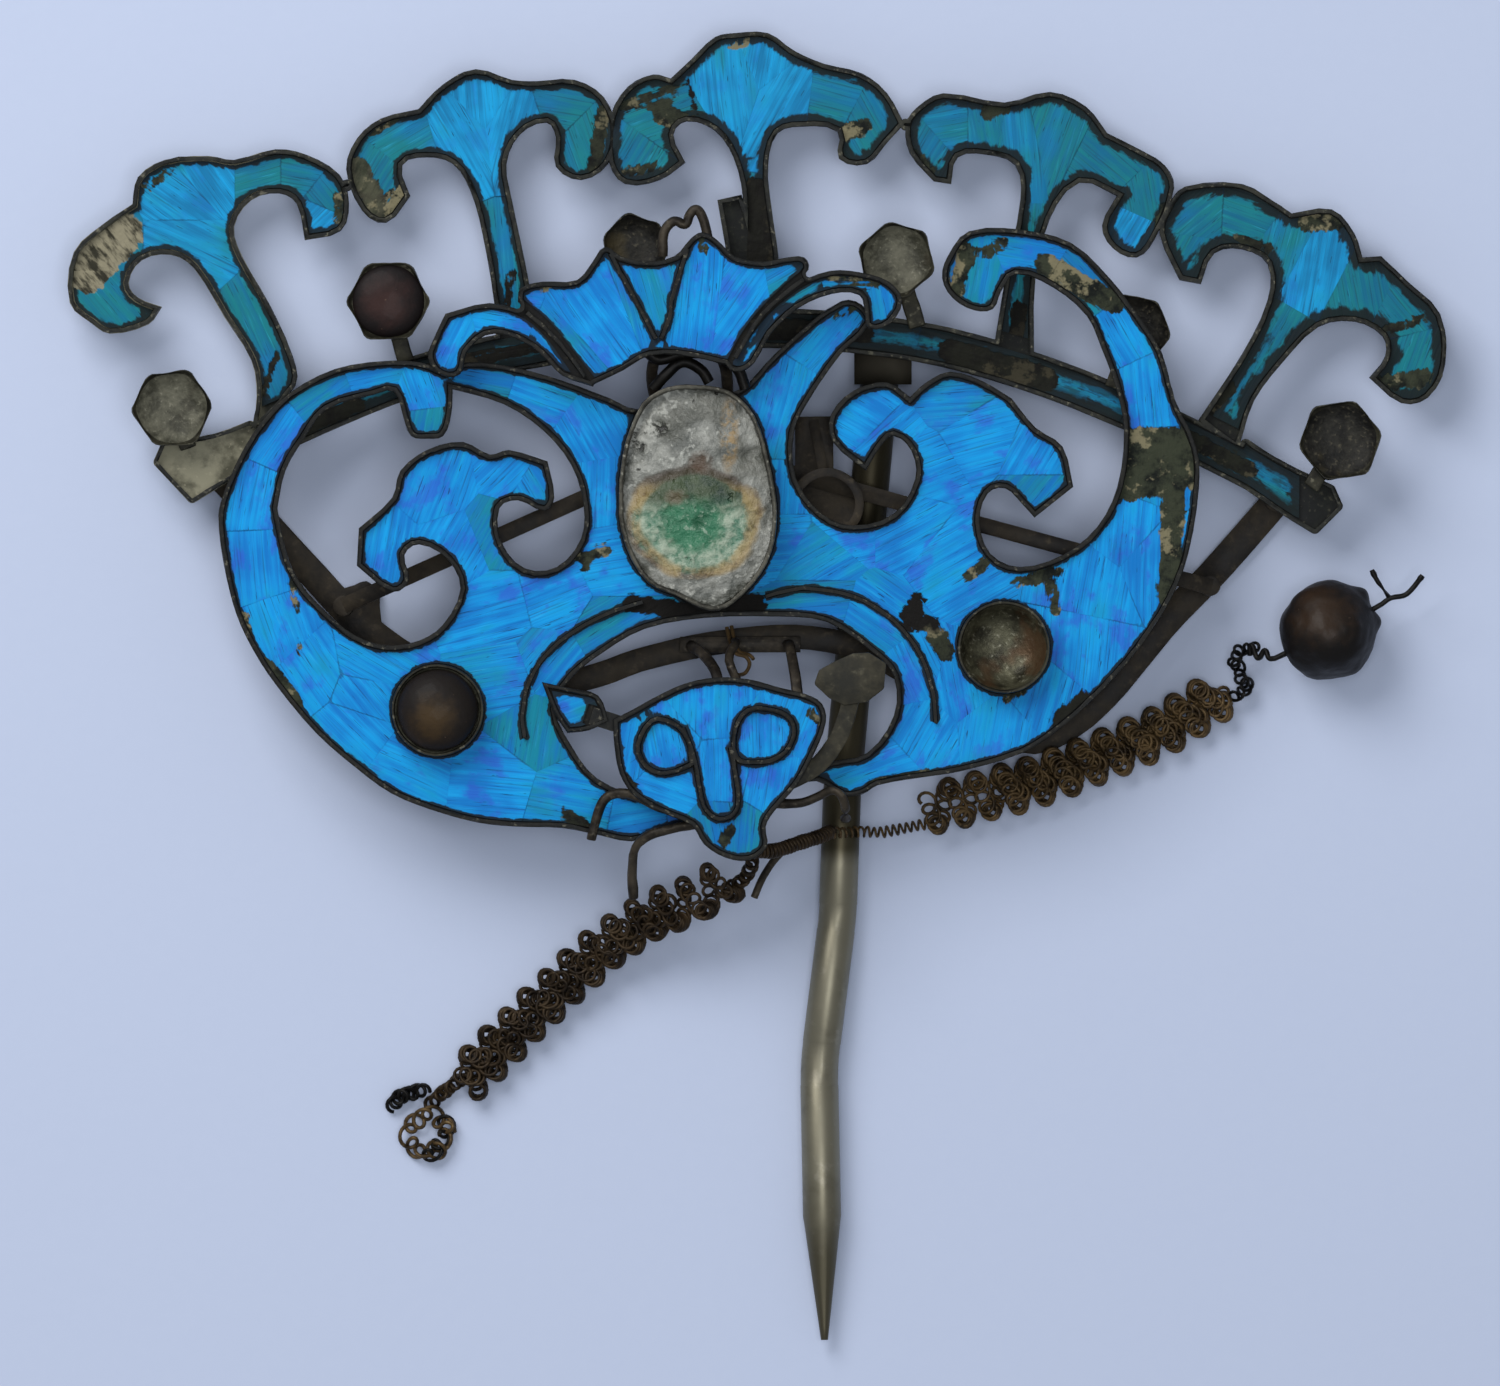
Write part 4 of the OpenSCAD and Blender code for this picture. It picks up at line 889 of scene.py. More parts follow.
class Piece:
    """A finished mesh object that rides on the body."""

    def __init__(self, name: str, bm: bmesh.types.BMesh, looks: Sequence[Looks], node: str = "",
                 slot: str = "", sharp: float = 38.0) -> None:
        """Makes the object and frees the bmesh.

        Args:
            name: Name of the piece.
            bm: Its mesh, in metres.
            looks: Finishes in the order of the faces' material numbers.
            node: The CAD node it stands for, if any.
            slot: Not used.
            sharp: Edges that bend more than these degrees stay sharp.
        """
        for vert in bm.verts:
            vert.co.z = max(vert.co.z, 0.0)
        for face in bm.faces:
            face.smooth = True
        for edge in bm.edges:
            edge.smooth = edge.calc_face_angle(0.0) < math.radians(sharp)
        mesh = bpy.data.meshes.new(name)
        bm.to_mesh(mesh)
        bm.free()
        self.object = bpy.data.objects.new(name, mesh)
        bpy.context.scene.collection.objects.link(self.object)
        for look in looks:
            mesh.materials.append(look.material())
        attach(self.object, "root")
        if node:
            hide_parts(node)
        LOG.info("%s: %d faces", name, len(mesh.polygons))


# Feather inlay


@dataclass(frozen=True)
class Worn:
    """A worn place: every point within a distance of a short line."""

    x0: float
    y0: float
    x1: float
    y1: float
    reach: float
    dark: float = 0.0

    def depth(self, x: float, y: float) -> float:
        """Measures how far inside the worn place a point lies.

        Args:
            x: The point in millimetres.
            y: The point in millimetres.

        Returns:
            The depth in millimetres, below zero outside.
        """
        dx, dy = self.x1 - self.x0, self.y1 - self.y0
        share = ((x - self.x0) * dx + (y - self.y0) * dy) / max(dx * dx + dy * dy, 1e-6)
        share = min(max(share, 0.0), 1.0)
        return self.reach - math.hypot(x - self.x0 - share * dx, y - self.y0 - share * dy)


@dataclass(frozen=True)
class Patch:
    """One patch of feather: its middle, the direction of its barbs in degrees and its hue."""

    x: float
    y: float
    turn: float
    tone: float = 0.05


@dataclass(frozen=True)
class Inlay:
    """A tray's feather layer, cut into patches whose barbs run their own way."""

    MARKS: ClassVar[tuple[str, ...]] = ("seam", "loss", "dark", "tone", "grime", "edge")
    BORDER_STEP: ClassVar[float] = 0.15
    FAR: ClassVar[float] = 3.0

    node: str
    look: Looks
    patches: Sequence[Patch]
    worn: Sequence[Worn] = ()
    grime: float = 0.0
    step: float = 0.55
    tilt: float = 0.02
    split: Optional[float] = None
    # Millimetres over which grime and painted shade darken the feather along the rims
    soil_and_shade: float = 0.36

    def _sheet(self) -> tuple[bmesh.types.BMesh, float, float]:
        """Takes the top faces of the CAD layer.

        Returns:
            The faces and the layer's lower and upper height in millimetres.
        """
        bm = welded(self.node)
        heights = [vert.co.z / MM for vert in bm.verts]
        bmesh.ops.delete(bm, geom=[f for f in bm.faces if f.normal.z < 0.5], context="FACES")
        merge_flat(bm)
        spread(bm, self.split)
        return bm, min(heights), max(heights)

    def _border(self, sheet: bmesh.types.BMesh) -> kdtree.KDTree:
        """Collects close places on the layer's border.

        Args:
            sheet: The layer's top faces.

        Returns:
            A search tree over the places.
        """
        places: list[Vector] = []
        for edge in (e for e in sheet.edges if e.is_boundary):
            a, b = (vert.co for vert in edge.verts)
            if off_split((a.x + b.x) / 2 / MM, self.split):
                steps = max(1, int((b - a).length / (self.BORDER_STEP * MM)))
                places += [a.lerp(b, k / steps) for k in range(steps)]
        tree = kdtree.KDTree(len(places))
        for k, place in enumerate(places):
            tree.insert((place.x, place.y, 0), k)
        tree.balance()
        return tree

    def _cell(self, sheet: bmesh.types.BMesh, index: int) -> bmesh.types.BMesh:
        """Clips the sheet to the places nearest to one patch.

        Args:
            sheet: The layer's top faces.
            index: Number of the patch.

        Returns:
            The patch's part of the sheet.
        """
        cell = sheet.copy()
        mine = self.patches[index]
        order = sorted(self.patches, key=lambda p: math.hypot(p.x - mine.x, p.y - mine.y))
        for other in order[1:]:
            if not cell.faces:
                break
            middle = Vector((mine.x + other.x, mine.y + other.y, 0)) * 0.5 * MM
            way = Vector((other.x - mine.x, other.y - mine.y, 0)).normalized()
            bmesh.ops.bisect_plane(cell, geom=[*cell.verts, *cell.edges, *cell.faces], dist=CUT_DISTANCE,
                                   plane_co=middle, plane_no=way, clear_outer=True)
        return cell

    def _seam(self, index: int, x: float, y: float) -> float:
        """Measures the distance from a place in a patch to the nearest neighbour's border.

        Args:
            index: Number of the patch.
            x: The place in millimetres.
            y: The place in millimetres.

        Returns:
            The distance in millimetres.
        """
        mine = self.patches[index]
        best = self.FAR
        for other in self.patches:
            gap = math.hypot(other.x - mine.x, other.y - mine.y)
            if other is not mine:
                middle = ((mine.x + other.x) / 2, (mine.y + other.y) / 2)
                off = ((middle[0] - x) * (other.x - mine.x) + (middle[1] - y) * (other.y - mine.y)) / gap
                best = min(best, off)
        return max(best, 0.0)

    def _relief(self, index: int, x: float, y: float, upper: float) -> float:
        """Shapes the patch: a slight tilt, soft waves and a curl at its border.

        Args:
            index: Number of the patch.
            x: A place in millimetres.
            y: A place in millimetres.
            upper: The layer's upper height in millimetres.

        Returns:
            The height there in millimetres.
        """
        mine = self.patches[index]
        lean = (hashed(mine.x, mine.y, 1) - 0.5) * self.tilt * (x - mine.x)
        lean += (hashed(mine.x, mine.y, 2) - 0.5) * self.tilt * (y - mine.y)
        lean = min(max(lean, -0.05), 0.05)
        wave = noise.noise(Vector((x * 0.45, y * 0.45, index * 3.7))) * 0.05
        curl = 0.015 * max(0.0, 1 - self._seam(index, x, y) / 0.5) ** 2
        return upper - 0.08 + lean + wave - curl

    def _mark(self, bm: bmesh.types.BMesh, index: int, border: kdtree.KDTree) -> None:
        """Writes the patch's attributes and its barb map.

        Args:
            bm: Mesh of the patch.
            index: Its number.
            border: The places on the layer's border.
        """
        mine = self.patches[index]
        layers = {n: bm.verts.layers.float.new(n) for n in self.MARKS}
        for vert in bm.verts:
            x, y = vert.co.x / MM, vert.co.y / MM
            deep = max(self.worn, key=lambda w: w.depth(x, y), default=None)
            vert[layers["seam"]] = self._seam(index, x, y)
            vert[layers["loss"]] = max(deep.depth(x, y), -self.FAR) if deep else -self.FAR
            vert[layers["dark"]] = deep.dark if deep else 0.0
            vert[layers["tone"]] = mine.tone
            vert[layers["grime"]] = self.grime
            vert[layers["edge"]] = border.find((vert.co.x, vert.co.y, 0))[2] / MM / self.soil_and_shade
        barb = bm.loops.layers.uv.new("barb")
        angle = math.radians(mine.turn)
        way, across = (math.cos(angle), math.sin(angle)), (-math.sin(angle), math.cos(angle))
        for loop in (lp for face in bm.faces for lp in face.loops):
            x, y = loop.vert.co.x / MM - mine.x, loop.vert.co.y / MM - mine.y
            u, v = x * way[0] + y * way[1], x * across[0] + y * across[1]
            bend = 0.012 * (hashed(mine.x, mine.y, 3) - 0.5)
            loop[barb].uv = (u + index * 31.7, v + bend * u * u + index * 17.3)

    def build(self) -> Piece:
        """Builds the layer.

        Returns:
            The piece.
        """
        sheet, lower, upper = self._sheet()
        border = self._border(sheet)
        whole = bmesh.new()
        for name in self.MARKS:
            whole.verts.layers.float.new(name)
        whole.loops.layers.uv.new("barb")
        for index, patch in enumerate(self.patches):
            cell = self._cell(sheet, index)
            if cell.faces:
                cut_grid(cell, self.step, patch.turn)
                thicken(cell, lower, lambda co, i=index: self._relief(i, co.x / MM, co.y / MM, upper))
                self._mark(cell, index, border)
                join(whole, cell)
            else:
                cell.free()
        sheet.free()
        return Piece(f"{self.node}_inlay", whole, [self.look], self.node, sharp=50)


# Trays


@dataclass(frozen=True)
class Tray:
    """A sheet with rim walls: rounded, uneven rims over a channel coloured dark for dirt and painted shade.
    """

    node: str
    sheet_top: float
    rim_top: float
    rim: Looks
    floor: Looks
    bend: float = 0.07
    round_over: float = 0.075
    longest: float = 0.8
    margin: float = 0.02
    floor_share: float = 0.45

    def build(self) -> Piece:
        """Builds the tray from a copy of its CAD mesh.

        Returns:
            The piece.
        """
        bm = welded(self.node)
        merge_flat(bm)
        high = (self.rim_top - self.margin) * MM
        wall = self.rim_top - self.sheet_top
        long = [e for e in bm.edges
                if e.calc_length() > self.longest * MM and min(v.co.z for v in e.verts) > high]
        bmesh.ops.subdivide_edges(bm, edges=long, cuts=1)
        soften(bm, self.round_over, lambda e: min(v.co.z for v in e.verts) > high)
        for face in bm.faces:
            top = face.calc_center_median().z > (self.sheet_top + self.floor_share * wall) * MM
            face.material_index = 0 if top else 1
        triangulate_wide(bm)
        for vert in bm.verts:
            above, place = vert.co.z / MM - self.sheet_top, vert.co / MM
            if above > self.margin:
                move = noise.noise_vector(place * 0.9) + noise.noise_vector(place * 2.3) * 0.5
                move = move * self.bend * MM
                dent = noise.noise(place * 0.5) * 0.16 - 0.1
                vert.co += Vector((move.x, move.y, dent * MM)) * (above / wall)
        return Piece(f"{self.node}_tray", bm, [self.rim, self.floor], self.node, sharp=35)


# Settings: cups, bezel, stones, bead


def lathe(profile: Sequence[tuple[float, float]], x: float, y: float,
          steps: int = 48) -> bmesh.types.BMesh:
    """Turns a closed profile that starts and ends on the axis into a solid.

    Args:
        profile: Pairs of radius and height in millimetres, from the bottom of the axis outward to its top.
        x: Place of the axis in millimetres.
        y: Place of the axis in millimetres.
        steps: Faces round the axis.

    Returns:
        The solid.
    """
    bm = bmesh.new()
    verts = [bm.verts.new((r * MM, 0, z * MM)) for r, z in profile]
    edges = [bm.edges.new(pair) for pair in zip(verts, verts[1:])]
    bmesh.ops.spin(bm, geom=[*verts, *edges], cent=(0, 0, 0), axis=(0, 0, 1), angle=math.tau, steps=steps,
                   use_merge=True)
    bmesh.ops.remove_doubles(bm, verts=bm.verts, dist=WELD)
    bmesh.ops.recalc_face_normals(bm, faces=bm.faces)
    bmesh.ops.translate(bm, vec=(x * MM, y * MM, 0), verts=bm.verts)
    return bm


def bar(start: tuple[float, float], end: tuple[float, float], width: float, low: float,
        high: float) -> bmesh.types.BMesh:
    """Makes a flat bar between two places, with soft edges.

    Args:
        start: First end in millimetres.
        end: Second end in millimetres.
        width: Its width.
        low: Its underside.
        high: Its top.

    Returns:
        The bar.
    """
    bm = bmesh.new()
    bmesh.ops.create_cube(bm, size=1.0)
    a, b = Vector(start), Vector(end)
    angle = math.atan2(b.y - a.y, b.x - a.x)
    middle = (*((a + b) / 2 * MM), (low + high) / 2 * MM)
    size = Matrix.Diagonal(((b - a).length * MM, width * MM, (high - low) * MM, 1))
    bmesh.ops.transform(bm, matrix=Matrix.Translation(middle) @ Matrix.Rotation(angle, 4, "Z") @ size,
                        verts=bm.verts)
    bmesh.ops.subdivide_edges(bm, edges=[e for e in bm.edges if e.calc_length() > 0.9 * MM], cuts=3,
                              use_grid_fill=True)
    soften(bm, 0.1, lambda e: True)
    return bm


@dataclass(frozen=True)
class BandCup:
    """A thin-walled cup of six uneven sides on a short neck, nearly filled by a dished lining."""

    number: int
    x: float
    y: float
    radius: float
    turn: float
    neck: tuple[float, float]
    look: Looks = Looks.BOWL
    low: float = 4.76
    high: float = 6.9
    depth: float = 0.85

    def _side(self, angle: float) -> float:
        """Measures the six-sided outline in a direction.

        Args:
            angle: The direction in radians.

        Returns:
            The outline's distance from the middle, as a share of the radius.
        """
        wedge = (math.degrees(angle) - self.turn) % 60 - 30
        flat = min(math.cos(math.radians(30)) / math.cos(math.radians(wedge)), 0.96)
        place = Vector((math.cos(angle), math.sin(angle), self.number * 2.3)) * 1.3
        return flat * (1 + 0.05 * noise.noise(place))

    def build(self) -> Piece:
        """Turns the cup, presses it to six sides and adds the neck.

        Returns:
            The piece.
        """
        r, inner, z, top = self.radius + 0.1, self.radius * 0.88, self.low, self.high
        dish = top - self.depth
        bm = lathe([(0, z), (r - 0.4, z), (r - 0.12, z + 0.25), (r, z + 1.2), (r, top - 0.1),
                    (r - 0.05, top), (r - 0.14, top), (r - 0.2, top - 0.12), (inner, top - 0.3),
                    (inner * 0.88, top - 0.52), (inner * 0.72, dish + 0.1), (inner * 0.52, dish),
                    (inner * 0.34, dish - 0.06), (inner * 0.16, dish - 0.04), (0, dish - 0.02)], 0, 0, 60)
        for face in bm.faces:
            place = face.calc_center_median() / MM
            inside = math.hypot(place.x, place.y) < inner + 0.12 and place.z > top - 1.3
            face.material_index = 1 if inside else 0
        for vert in bm.verts:
            out = math.hypot(vert.co.x, vert.co.y) / MM
            share = min(max((out - inner * 0.93) / (r - inner * 0.93), 0.0), 1.0)
            size = 1 + (self._side(math.atan2(vert.co.y, vert.co.x)) - 1) * share
            vert.co.x *= size
            vert.co.y *= size
        bmesh.ops.translate(bm, vec=(self.x * MM, self.y * MM, 0), verts=bm.verts)
        away = (Vector(self.neck) - Vector((self.x, self.y))).normalized() * (self.radius - 0.6)
        join(bm, bar((self.x + away.x, self.y + away.y), self.neck, width=1.25, low=self.low + 0.02,
                     high=self.low + 0.42))
        wobble(bm, amount=0.09, scale=0.7, low=self.low + 0.1, seed=self.number * 5.0)
        return Piece(f"band_cup_{self.number}_pressed", bm, [Looks.CUP, self.look],
                     f"band_cup_{self.number}", sharp=50)


@dataclass(frozen=True)
class WingCup:
    """A round cup on a wing with a thin, slightly bent wall."""

    node: str
    x: float
    y: float
    inside: Looks
    radius: float = 3.45
    low: float = 8.01

    def build(self) -> Piece:
        """Turns the cup.

        Returns:
            The piece.
        """
        r, z = self.radius, self.low
        bm = lathe([(0, z), (r - 0.5, z), (r - 0.32, z + 0.12), (r - 0.16, z + 1.2), (r, z + 2.3),
                    (r - 0.06, z + 2.4), (r - 0.18, z + 2.4), (r - 0.28, z + 2.28), (r - 0.42, z + 1.9),
                    (r - 0.7, z + 1.3), (r - 1.1, z + 0.88), (r - 1.6, z + 0.62), (r - 2.3, z + 0.48),
                    (r - 2.9, z + 0.42), (0, z + 0.4)], self.x, self.y, 64)
        for face in bm.faces:
            place = face.calc_center_median()
            out = math.hypot(place.x / MM - self.x, place.y / MM - self.y)
            face.material_index = 1 if out < r - 0.3 and place.z > (z + 0.35) * MM else 0
        wobble(bm, amount=0.07, scale=0.45, low=z + 0.3, seed=self.x)
        return Piece(f"{self.node}_turned", bm, [Looks.CUP, self.inside], self.node, sharp=50)


@dataclass(frozen=True)
class Cabochon:
    """A low round stone, a little uneven."""

    node: str
    look: Looks
    x: float
    y: float
    radius: float
    low: float
    shoulder: float
    dome: float
    foot: float = 0.3

    def build(self) -> Piece:
        """Turns the stone.

        Returns:
            The piece.
        """
        arc = [(self.radius * math.cos(a), self.low + self.shoulder + self.dome * math.sin(a))
               for a in (math.radians(d) for d in range(0, 91, 6))]
        arc[-1] = (0, arc[-1][1])
        bm = lathe([(0, self.low), (self.radius - self.foot, self.low), *arc], self.x, self.y, 64)
        wobble(bm, amount=0.06, scale=0.5, low=self.low + 0.3, seed=self.x)
        return Piece(f"{self.node}_polished", bm, [self.look], self.node, sharp=60)


@dataclass(frozen=True)
class OvalSetting:
    """The oval bezel with a hammered wall, and the broken crust that fills it."""

    x: float = -4.5
    y: float = 14.2
    half_x: float = 5.5
    half_y: float = 8.1
    low: float = 10.47
    high: float = 11.45
    lip: float = 11.5
    hammered_above: float = 10.9

    def wall(self) -> Piece:
        """Builds the bezel from the CAD mesh.

        Returns:
            The piece.
        """
        bm = welded("oval_bezel")
        merge_flat(bm)
        soften(bm, 0.1, lambda e: min(v.co.z for v in e.verts) > self.lip * MM)
        triangulate_wide(bm)
        for vert in bm.verts:
            if vert.co.z > self.hammered_above * MM:
                move = noise.noise_vector(vert.co / MM * 0.75) * 0.09 * MM
                vert.co += Vector((move.x, move.y, -abs(move.z) * 1.8))
        return Piece("oval_bezel_hammered", bm, [Looks.BEZEL], "oval_bezel", sharp=35)

    def crust(self) -> Piece:
        """Builds the crust over the CAD paste's outline.

        Returns:
            The piece.
        """
        bm = welded("bezel_paste")
        floor = min(vert.co.z for vert in bm.verts) + 0.01 * MM
        others = [f for f in bm.faces if f.normal.z > -0.5 or f.calc_center_median().z > floor]
        bmesh.ops.delete(bm, geom=others, context="FACES")
        bmesh.ops.reverse_faces(bm, faces=bm.faces[:])
        spread(bm)
        cut_grid(bm, 0.22, 12)
        thicken(bm, self.low, self._height)
        return Piece("bezel_paste_crust", bm, [Looks.CRUST], "bezel_paste", sharp=80)

    def _height(self, place: Vector) -> float:
        """Shapes the crust: a dome with lumps and pits.

        Args:
            place: A place in metres.

        Returns:
            The height there in millimetres.
        """
        u = (place.x / MM - self.x) / self.half_x
        v = (place.y / MM - self.y) / self.half_y
        dome = max(0.0, 1 - u * u - v * v) ** 0.6
        flat = Vector((place.x / MM, place.y / MM, 0))
        lump = noise.noise(flat * 0.7) * 0.22 + noise.noise(flat * 2.1) * 0.12
        lump += noise.noise(flat * 5.0) * 0.06
        ditch = 0.25 * math.exp(-((place.y / MM - 0.26 * (place.x / MM + 9.9) - 14.8) / 0.7) ** 2)
        height = self.low + 0.16 + (self.high - self.low - 0.35) * dome + lump - ditch
        return min(max(height, self.low + 0.06), self.high)


@dataclass(frozen=True)
class Bead:
    """The mottled bead with its dents and nubs, each nub with its angle, rise and width."""

    NUBS: ClassVar[tuple[Point, ...]] = ((48, 0.5, 0.22), (12, 0.45, 0.2), (238, 0.08, 0.3))

    x: float = 42.8
    y: float = 4.25
    z: float = 3.87
    radius: float = 3.85

    def build(self) -> Piece:
        """Builds the bead as a dented ball.

        Returns:
            The piece.
        """
        bm = bmesh.new()
        bmesh.ops.create_icosphere(bm, subdivisions=6, radius=self.radius * MM)
        for vert in bm.verts:
            way = vert.co.normalized()
            grow = noise.noise(way * 1.6) * 0.24 - 0.2 + noise.noise(way * 5.0) * 0.05
            for angle, rise, wide in self.NUBS:
                nub = Vector((math.cos(math.radians(angle)), math.sin(math.radians(angle)), 0))
                grow += rise * math.exp(-((way - nub).length / wide) ** 2)
            vert.co = way * (self.radius + grow) * MM
        bmesh.ops.translate(bm, vec=Vector((self.x, self.y, self.z)) * MM, verts=bm.verts)
        return Piece("bead_glass", bm, [Looks.BEAD], "bead", sharp=80)


# Strips, wires and coils


@dataclass(frozen=True)
class Worked:
    """A metal piece that keeps its CAD shape, with soft edges and a hand-made unevenness."""

    node: str
    look: Looks
    soft: float = 0.1
    bend: float = 0.05
    scale: float = 0.4
    rounds: int = 0
    sharp: float = 38.0

    def build(self) -> Piece:
        """Builds the piece from a copy of its CAD mesh.

        Returns:
            The piece.
        """
        bm = welded(self.node)
        merge_flat(bm)
        if self.soft:
            soften(bm, self.soft, lambda e: True)
        for _ in range(self.rounds):
            bmesh.ops.subdivide_edges(bm, edges=bm.edges[:], cuts=1, smooth=0.5, use_grid_fill=True)
        triangulate_wide(bm)
        wobble(bm, amount=self.bend, scale=self.scale, seed=len(self.node))
        return Piece(f"{self.node}_worked", bm, [self.look], self.node, sharp=self.sharp)


def smooth_line(points: Sequence[Point], steps: int) -> list[Vector]:
    """Lays a smooth open line through points.

    Args:
        points: The points.
        steps: Steps between each two.

    Returns:
        The line.
    """
    place = [Vector(p) for p in points]
    last = len(place) - 1
    line: list[Vector] = []
    for i in range(last):
        a, b = place[i], place[i + 1]
        span = (b - a).length
        u = (b - a) if i == 0 else (b - place[i - 1]).normalized() * span
        v = (b - a) if i == last - 1 else (place[i + 2] - a).normalized() * span
        for k in range(steps):
            t = k / steps
            line.append(a * (2 * t ** 3 - 3 * t * t + 1) + u * (t ** 3 - 2 * t * t + t)
                        + b * (3 * t * t - 2 * t ** 3) + v * (t ** 3 - t * t))
    return line + [place[last]]


def resample(line: Sequence[Vector], step: float) -> list[Vector]:
    """Places points at an even distance along a line.

    Args:
        line: The line.
        step: The distance.

    Returns:
        The points.
    """
    out, left = [line[0].copy()], step
    for a, b in zip(line, line[1:]):
        span = (b - a).length
        done = 0.0
        while span - done >= left:
            done += left
            out.append(a.lerp(b, done / span))
            left = step
        left -= span - done
    return out


def helix(line: Sequence[Vector], radius: float, pitch: float, points: int = 8,
          uneven: float = 0.0) -> list[Vector]:
    """Winds a line round another.

    Args:
        line: The middle line.
        radius: Distance of the winding from it.
        pitch: Distance between turns.
        points: Points in each turn.
        uneven: Share by which the radius varies.

    Returns:
        The winding.
    """
    even = resample(line, pitch / points)
    side = Vector((0.13, 0.21, 0.97))
    out = []
    for i, place in enumerate(even):
        way = (even[min(i + 1, len(even) - 1)] - even[max(i - 1, 0)]).normalized()
        side = (side - way * side.dot(way)).normalized()
        turn = math.tau * i / points
        grow = radius * (1 + uneven * noise.noise(place * 1.3))
        out.append(place + (side * math.cos(turn) + way.cross(side) * math.sin(turn)) * grow)
    return out


def wire(name: str, lines: Sequence[Sequence[Vector]], radius: float, look: Looks, node: str = "",
         slot: str = "", resolution: int = 1) -> Piece:
    """Draws round wires along lines, as one mesh.

    Args:
        name: Name of the piece.
        lines: Middle lines in millimetres.
        radius: Radius of the wire in millimetres.
        look: Its finish.
        node: The CAD node it stands for, if any.
        slot: The record's slot, where the piece stands for no node.
        resolution: Roundness of the wire.

    Returns:
        The piece.
    """
    curve = bpy.data.curves.new(name, "CURVE")
    curve.dimensions = "3D"
    curve.bevel_depth = radius * MM
    curve.bevel_resolution = resolution
    curve.use_fill_caps = True
    for line in lines:
        spline = curve.splines.new("POLY")
        spline.points.add(len(line) - 1)
        for point, place in zip(spline.points, line):
            point.co = (*(place * MM), 1)
    holder = bpy.data.objects.new(name, curve)
    bm = bmesh.new()
    bm.from_mesh(holder.to_mesh())
    holder.to_mesh_clear()
    bpy.data.objects.remove(holder)
    bpy.data.curves.remove(curve)
    bmesh.ops.remove_doubles(bm, verts=bm.verts, dist=WELD / 4)
    bmesh.ops.recalc_face_normals(bm, faces=bm.faces)
    return Piece(name, bm, [look], node, slot, sharp=70)


def curls(line: Sequence[Vector], radius: float, pitch: float, points: int = 14, tilt: float = 0.25,
          seed: float = 0.0, stray: float = 0.0) -> list[Vector]:
    """Lays flat loops one over the other along a line.

    Args:
        line: The middle line.
        radius: Radius of a loop.
        pitch: Distance between loops.
        points: Points in each loop.
        tilt: Rise of a loop's side, as a share of its radius.
        seed: Shifts the unevenness.
        stray: How far loops wander off the line.

    Returns:
        The looped line.
    """
    out = []
    for i, place in enumerate(resample(line, pitch / points)):
        turn = math.tau * i / points
        grow = radius * (1 + 0.22 * noise.noise(Vector((i * 0.11, seed, 0))))
        rise = radius * tilt * math.sin(turn + 0.13 * i)
        off = noise.noise_vector(Vector((i * 0.05, seed, 3.0))) * stray
        out.append(place + Vector((math.cos(turn) * grow, math.sin(turn) * grow, rise)) + off)
    return out


@dataclass(frozen=True)
class Feeler:
    """A feeler: a spring of flat curls, stacked at both sides and crossing closely between them."""

    PER_CURL: ClassVar[int] = 14
    PER_MM: ClassVar[int] = 100
    CROWDING: ClassVar[float] = 2.1
    CORE_REACH: ClassVar[float] = 0.36
    CORE_START: ClassVar[float] = 5.5
    LOOSE_LENGTH: ClassVar[float] = 3.5

    node: str
    points: Sequence[Point]
    look: Looks
    reach: float = 1.3
    lift: float = 0.45
    pitch: float = 2.06
    curl: float = 0.57
    wire: float = 0.135
    curls_each: int = 19
    tilt: float = 0.3
    skew: float = 0.14
    phase: float = 0.0
    loose: float = 0.0

    def winding(self, reach: float, curls_each: int, turn: float, start: float = 0.0) -> list[Vector]:
        """Winds the wire, with its curls crowded at the ends of each swing.

        Args:
            reach: How far it swings to each side, in millimetres.
            curls_each: Curls in each full swing.
            turn: Phase of the swing at the start.
            start: Distance along the feeler at which it starts, in millimetres.

        Returns:
            The wire's middle line.
        """
        base = resample(smooth_line(self.points, 12), 1 / self.PER_MM)
        line, place = [], start * self.PER_MM
        step = math.tau / (curls_each * self.PER_CURL)
        while place < len(base) - 1:
            at = base[int(place)]
            way = (base[min(int(place) + 8, len(base) - 1)] - base[max(int(place) - 8, 0)]).normalized()
            across = Vector((-way.y, way.x, 0)).normalized()
            up = way.cross(across)
            small = turn * curls_each
            uneven = noise.noise(Vector((small * 0.045, self.phase, 0)))
            crowded = math.tanh(self.CROWDING * math.cos(turn)) / math.tanh(self.CROWDING)
            swing = crowded * reach * (1 + 0.05 * uneven)
            curl = self.curl * (1 + 0.12 * uneven)
            side = across * math.cos(small) + way * math.sin(small)
            side += up * self.tilt * math.sin(small * 0.97 + 1.0)
            line.append(at + across * swing + up * self.lift * math.sin(turn) + side * curl
                        + way * (self.skew * swing - self.pitch / self.PER_CURL * math.sin(2 * turn)))
            turn += step
            spread_out = 1 + self.loose * math.exp(-place / self.PER_MM / self.LOOSE_LENGTH)
            place += step / math.tau * self.pitch * spread_out * self.PER_MM
        return line

    def build(self) -> Piece:
        """Draws the wire of the spring.

        Returns:
            The piece.
        """
        outer = self.winding(self.reach, self.curls_each, self.phase)
        core = self.winding(self.reach * self.CORE_REACH, self.curls_each // 2, self.phase + math.pi,
                            self.CORE_START)
        return wire(f"{self.node}_curled", [outer, core], radius=self.wire, look=self.look,
                    node=self.node)


# The ornament


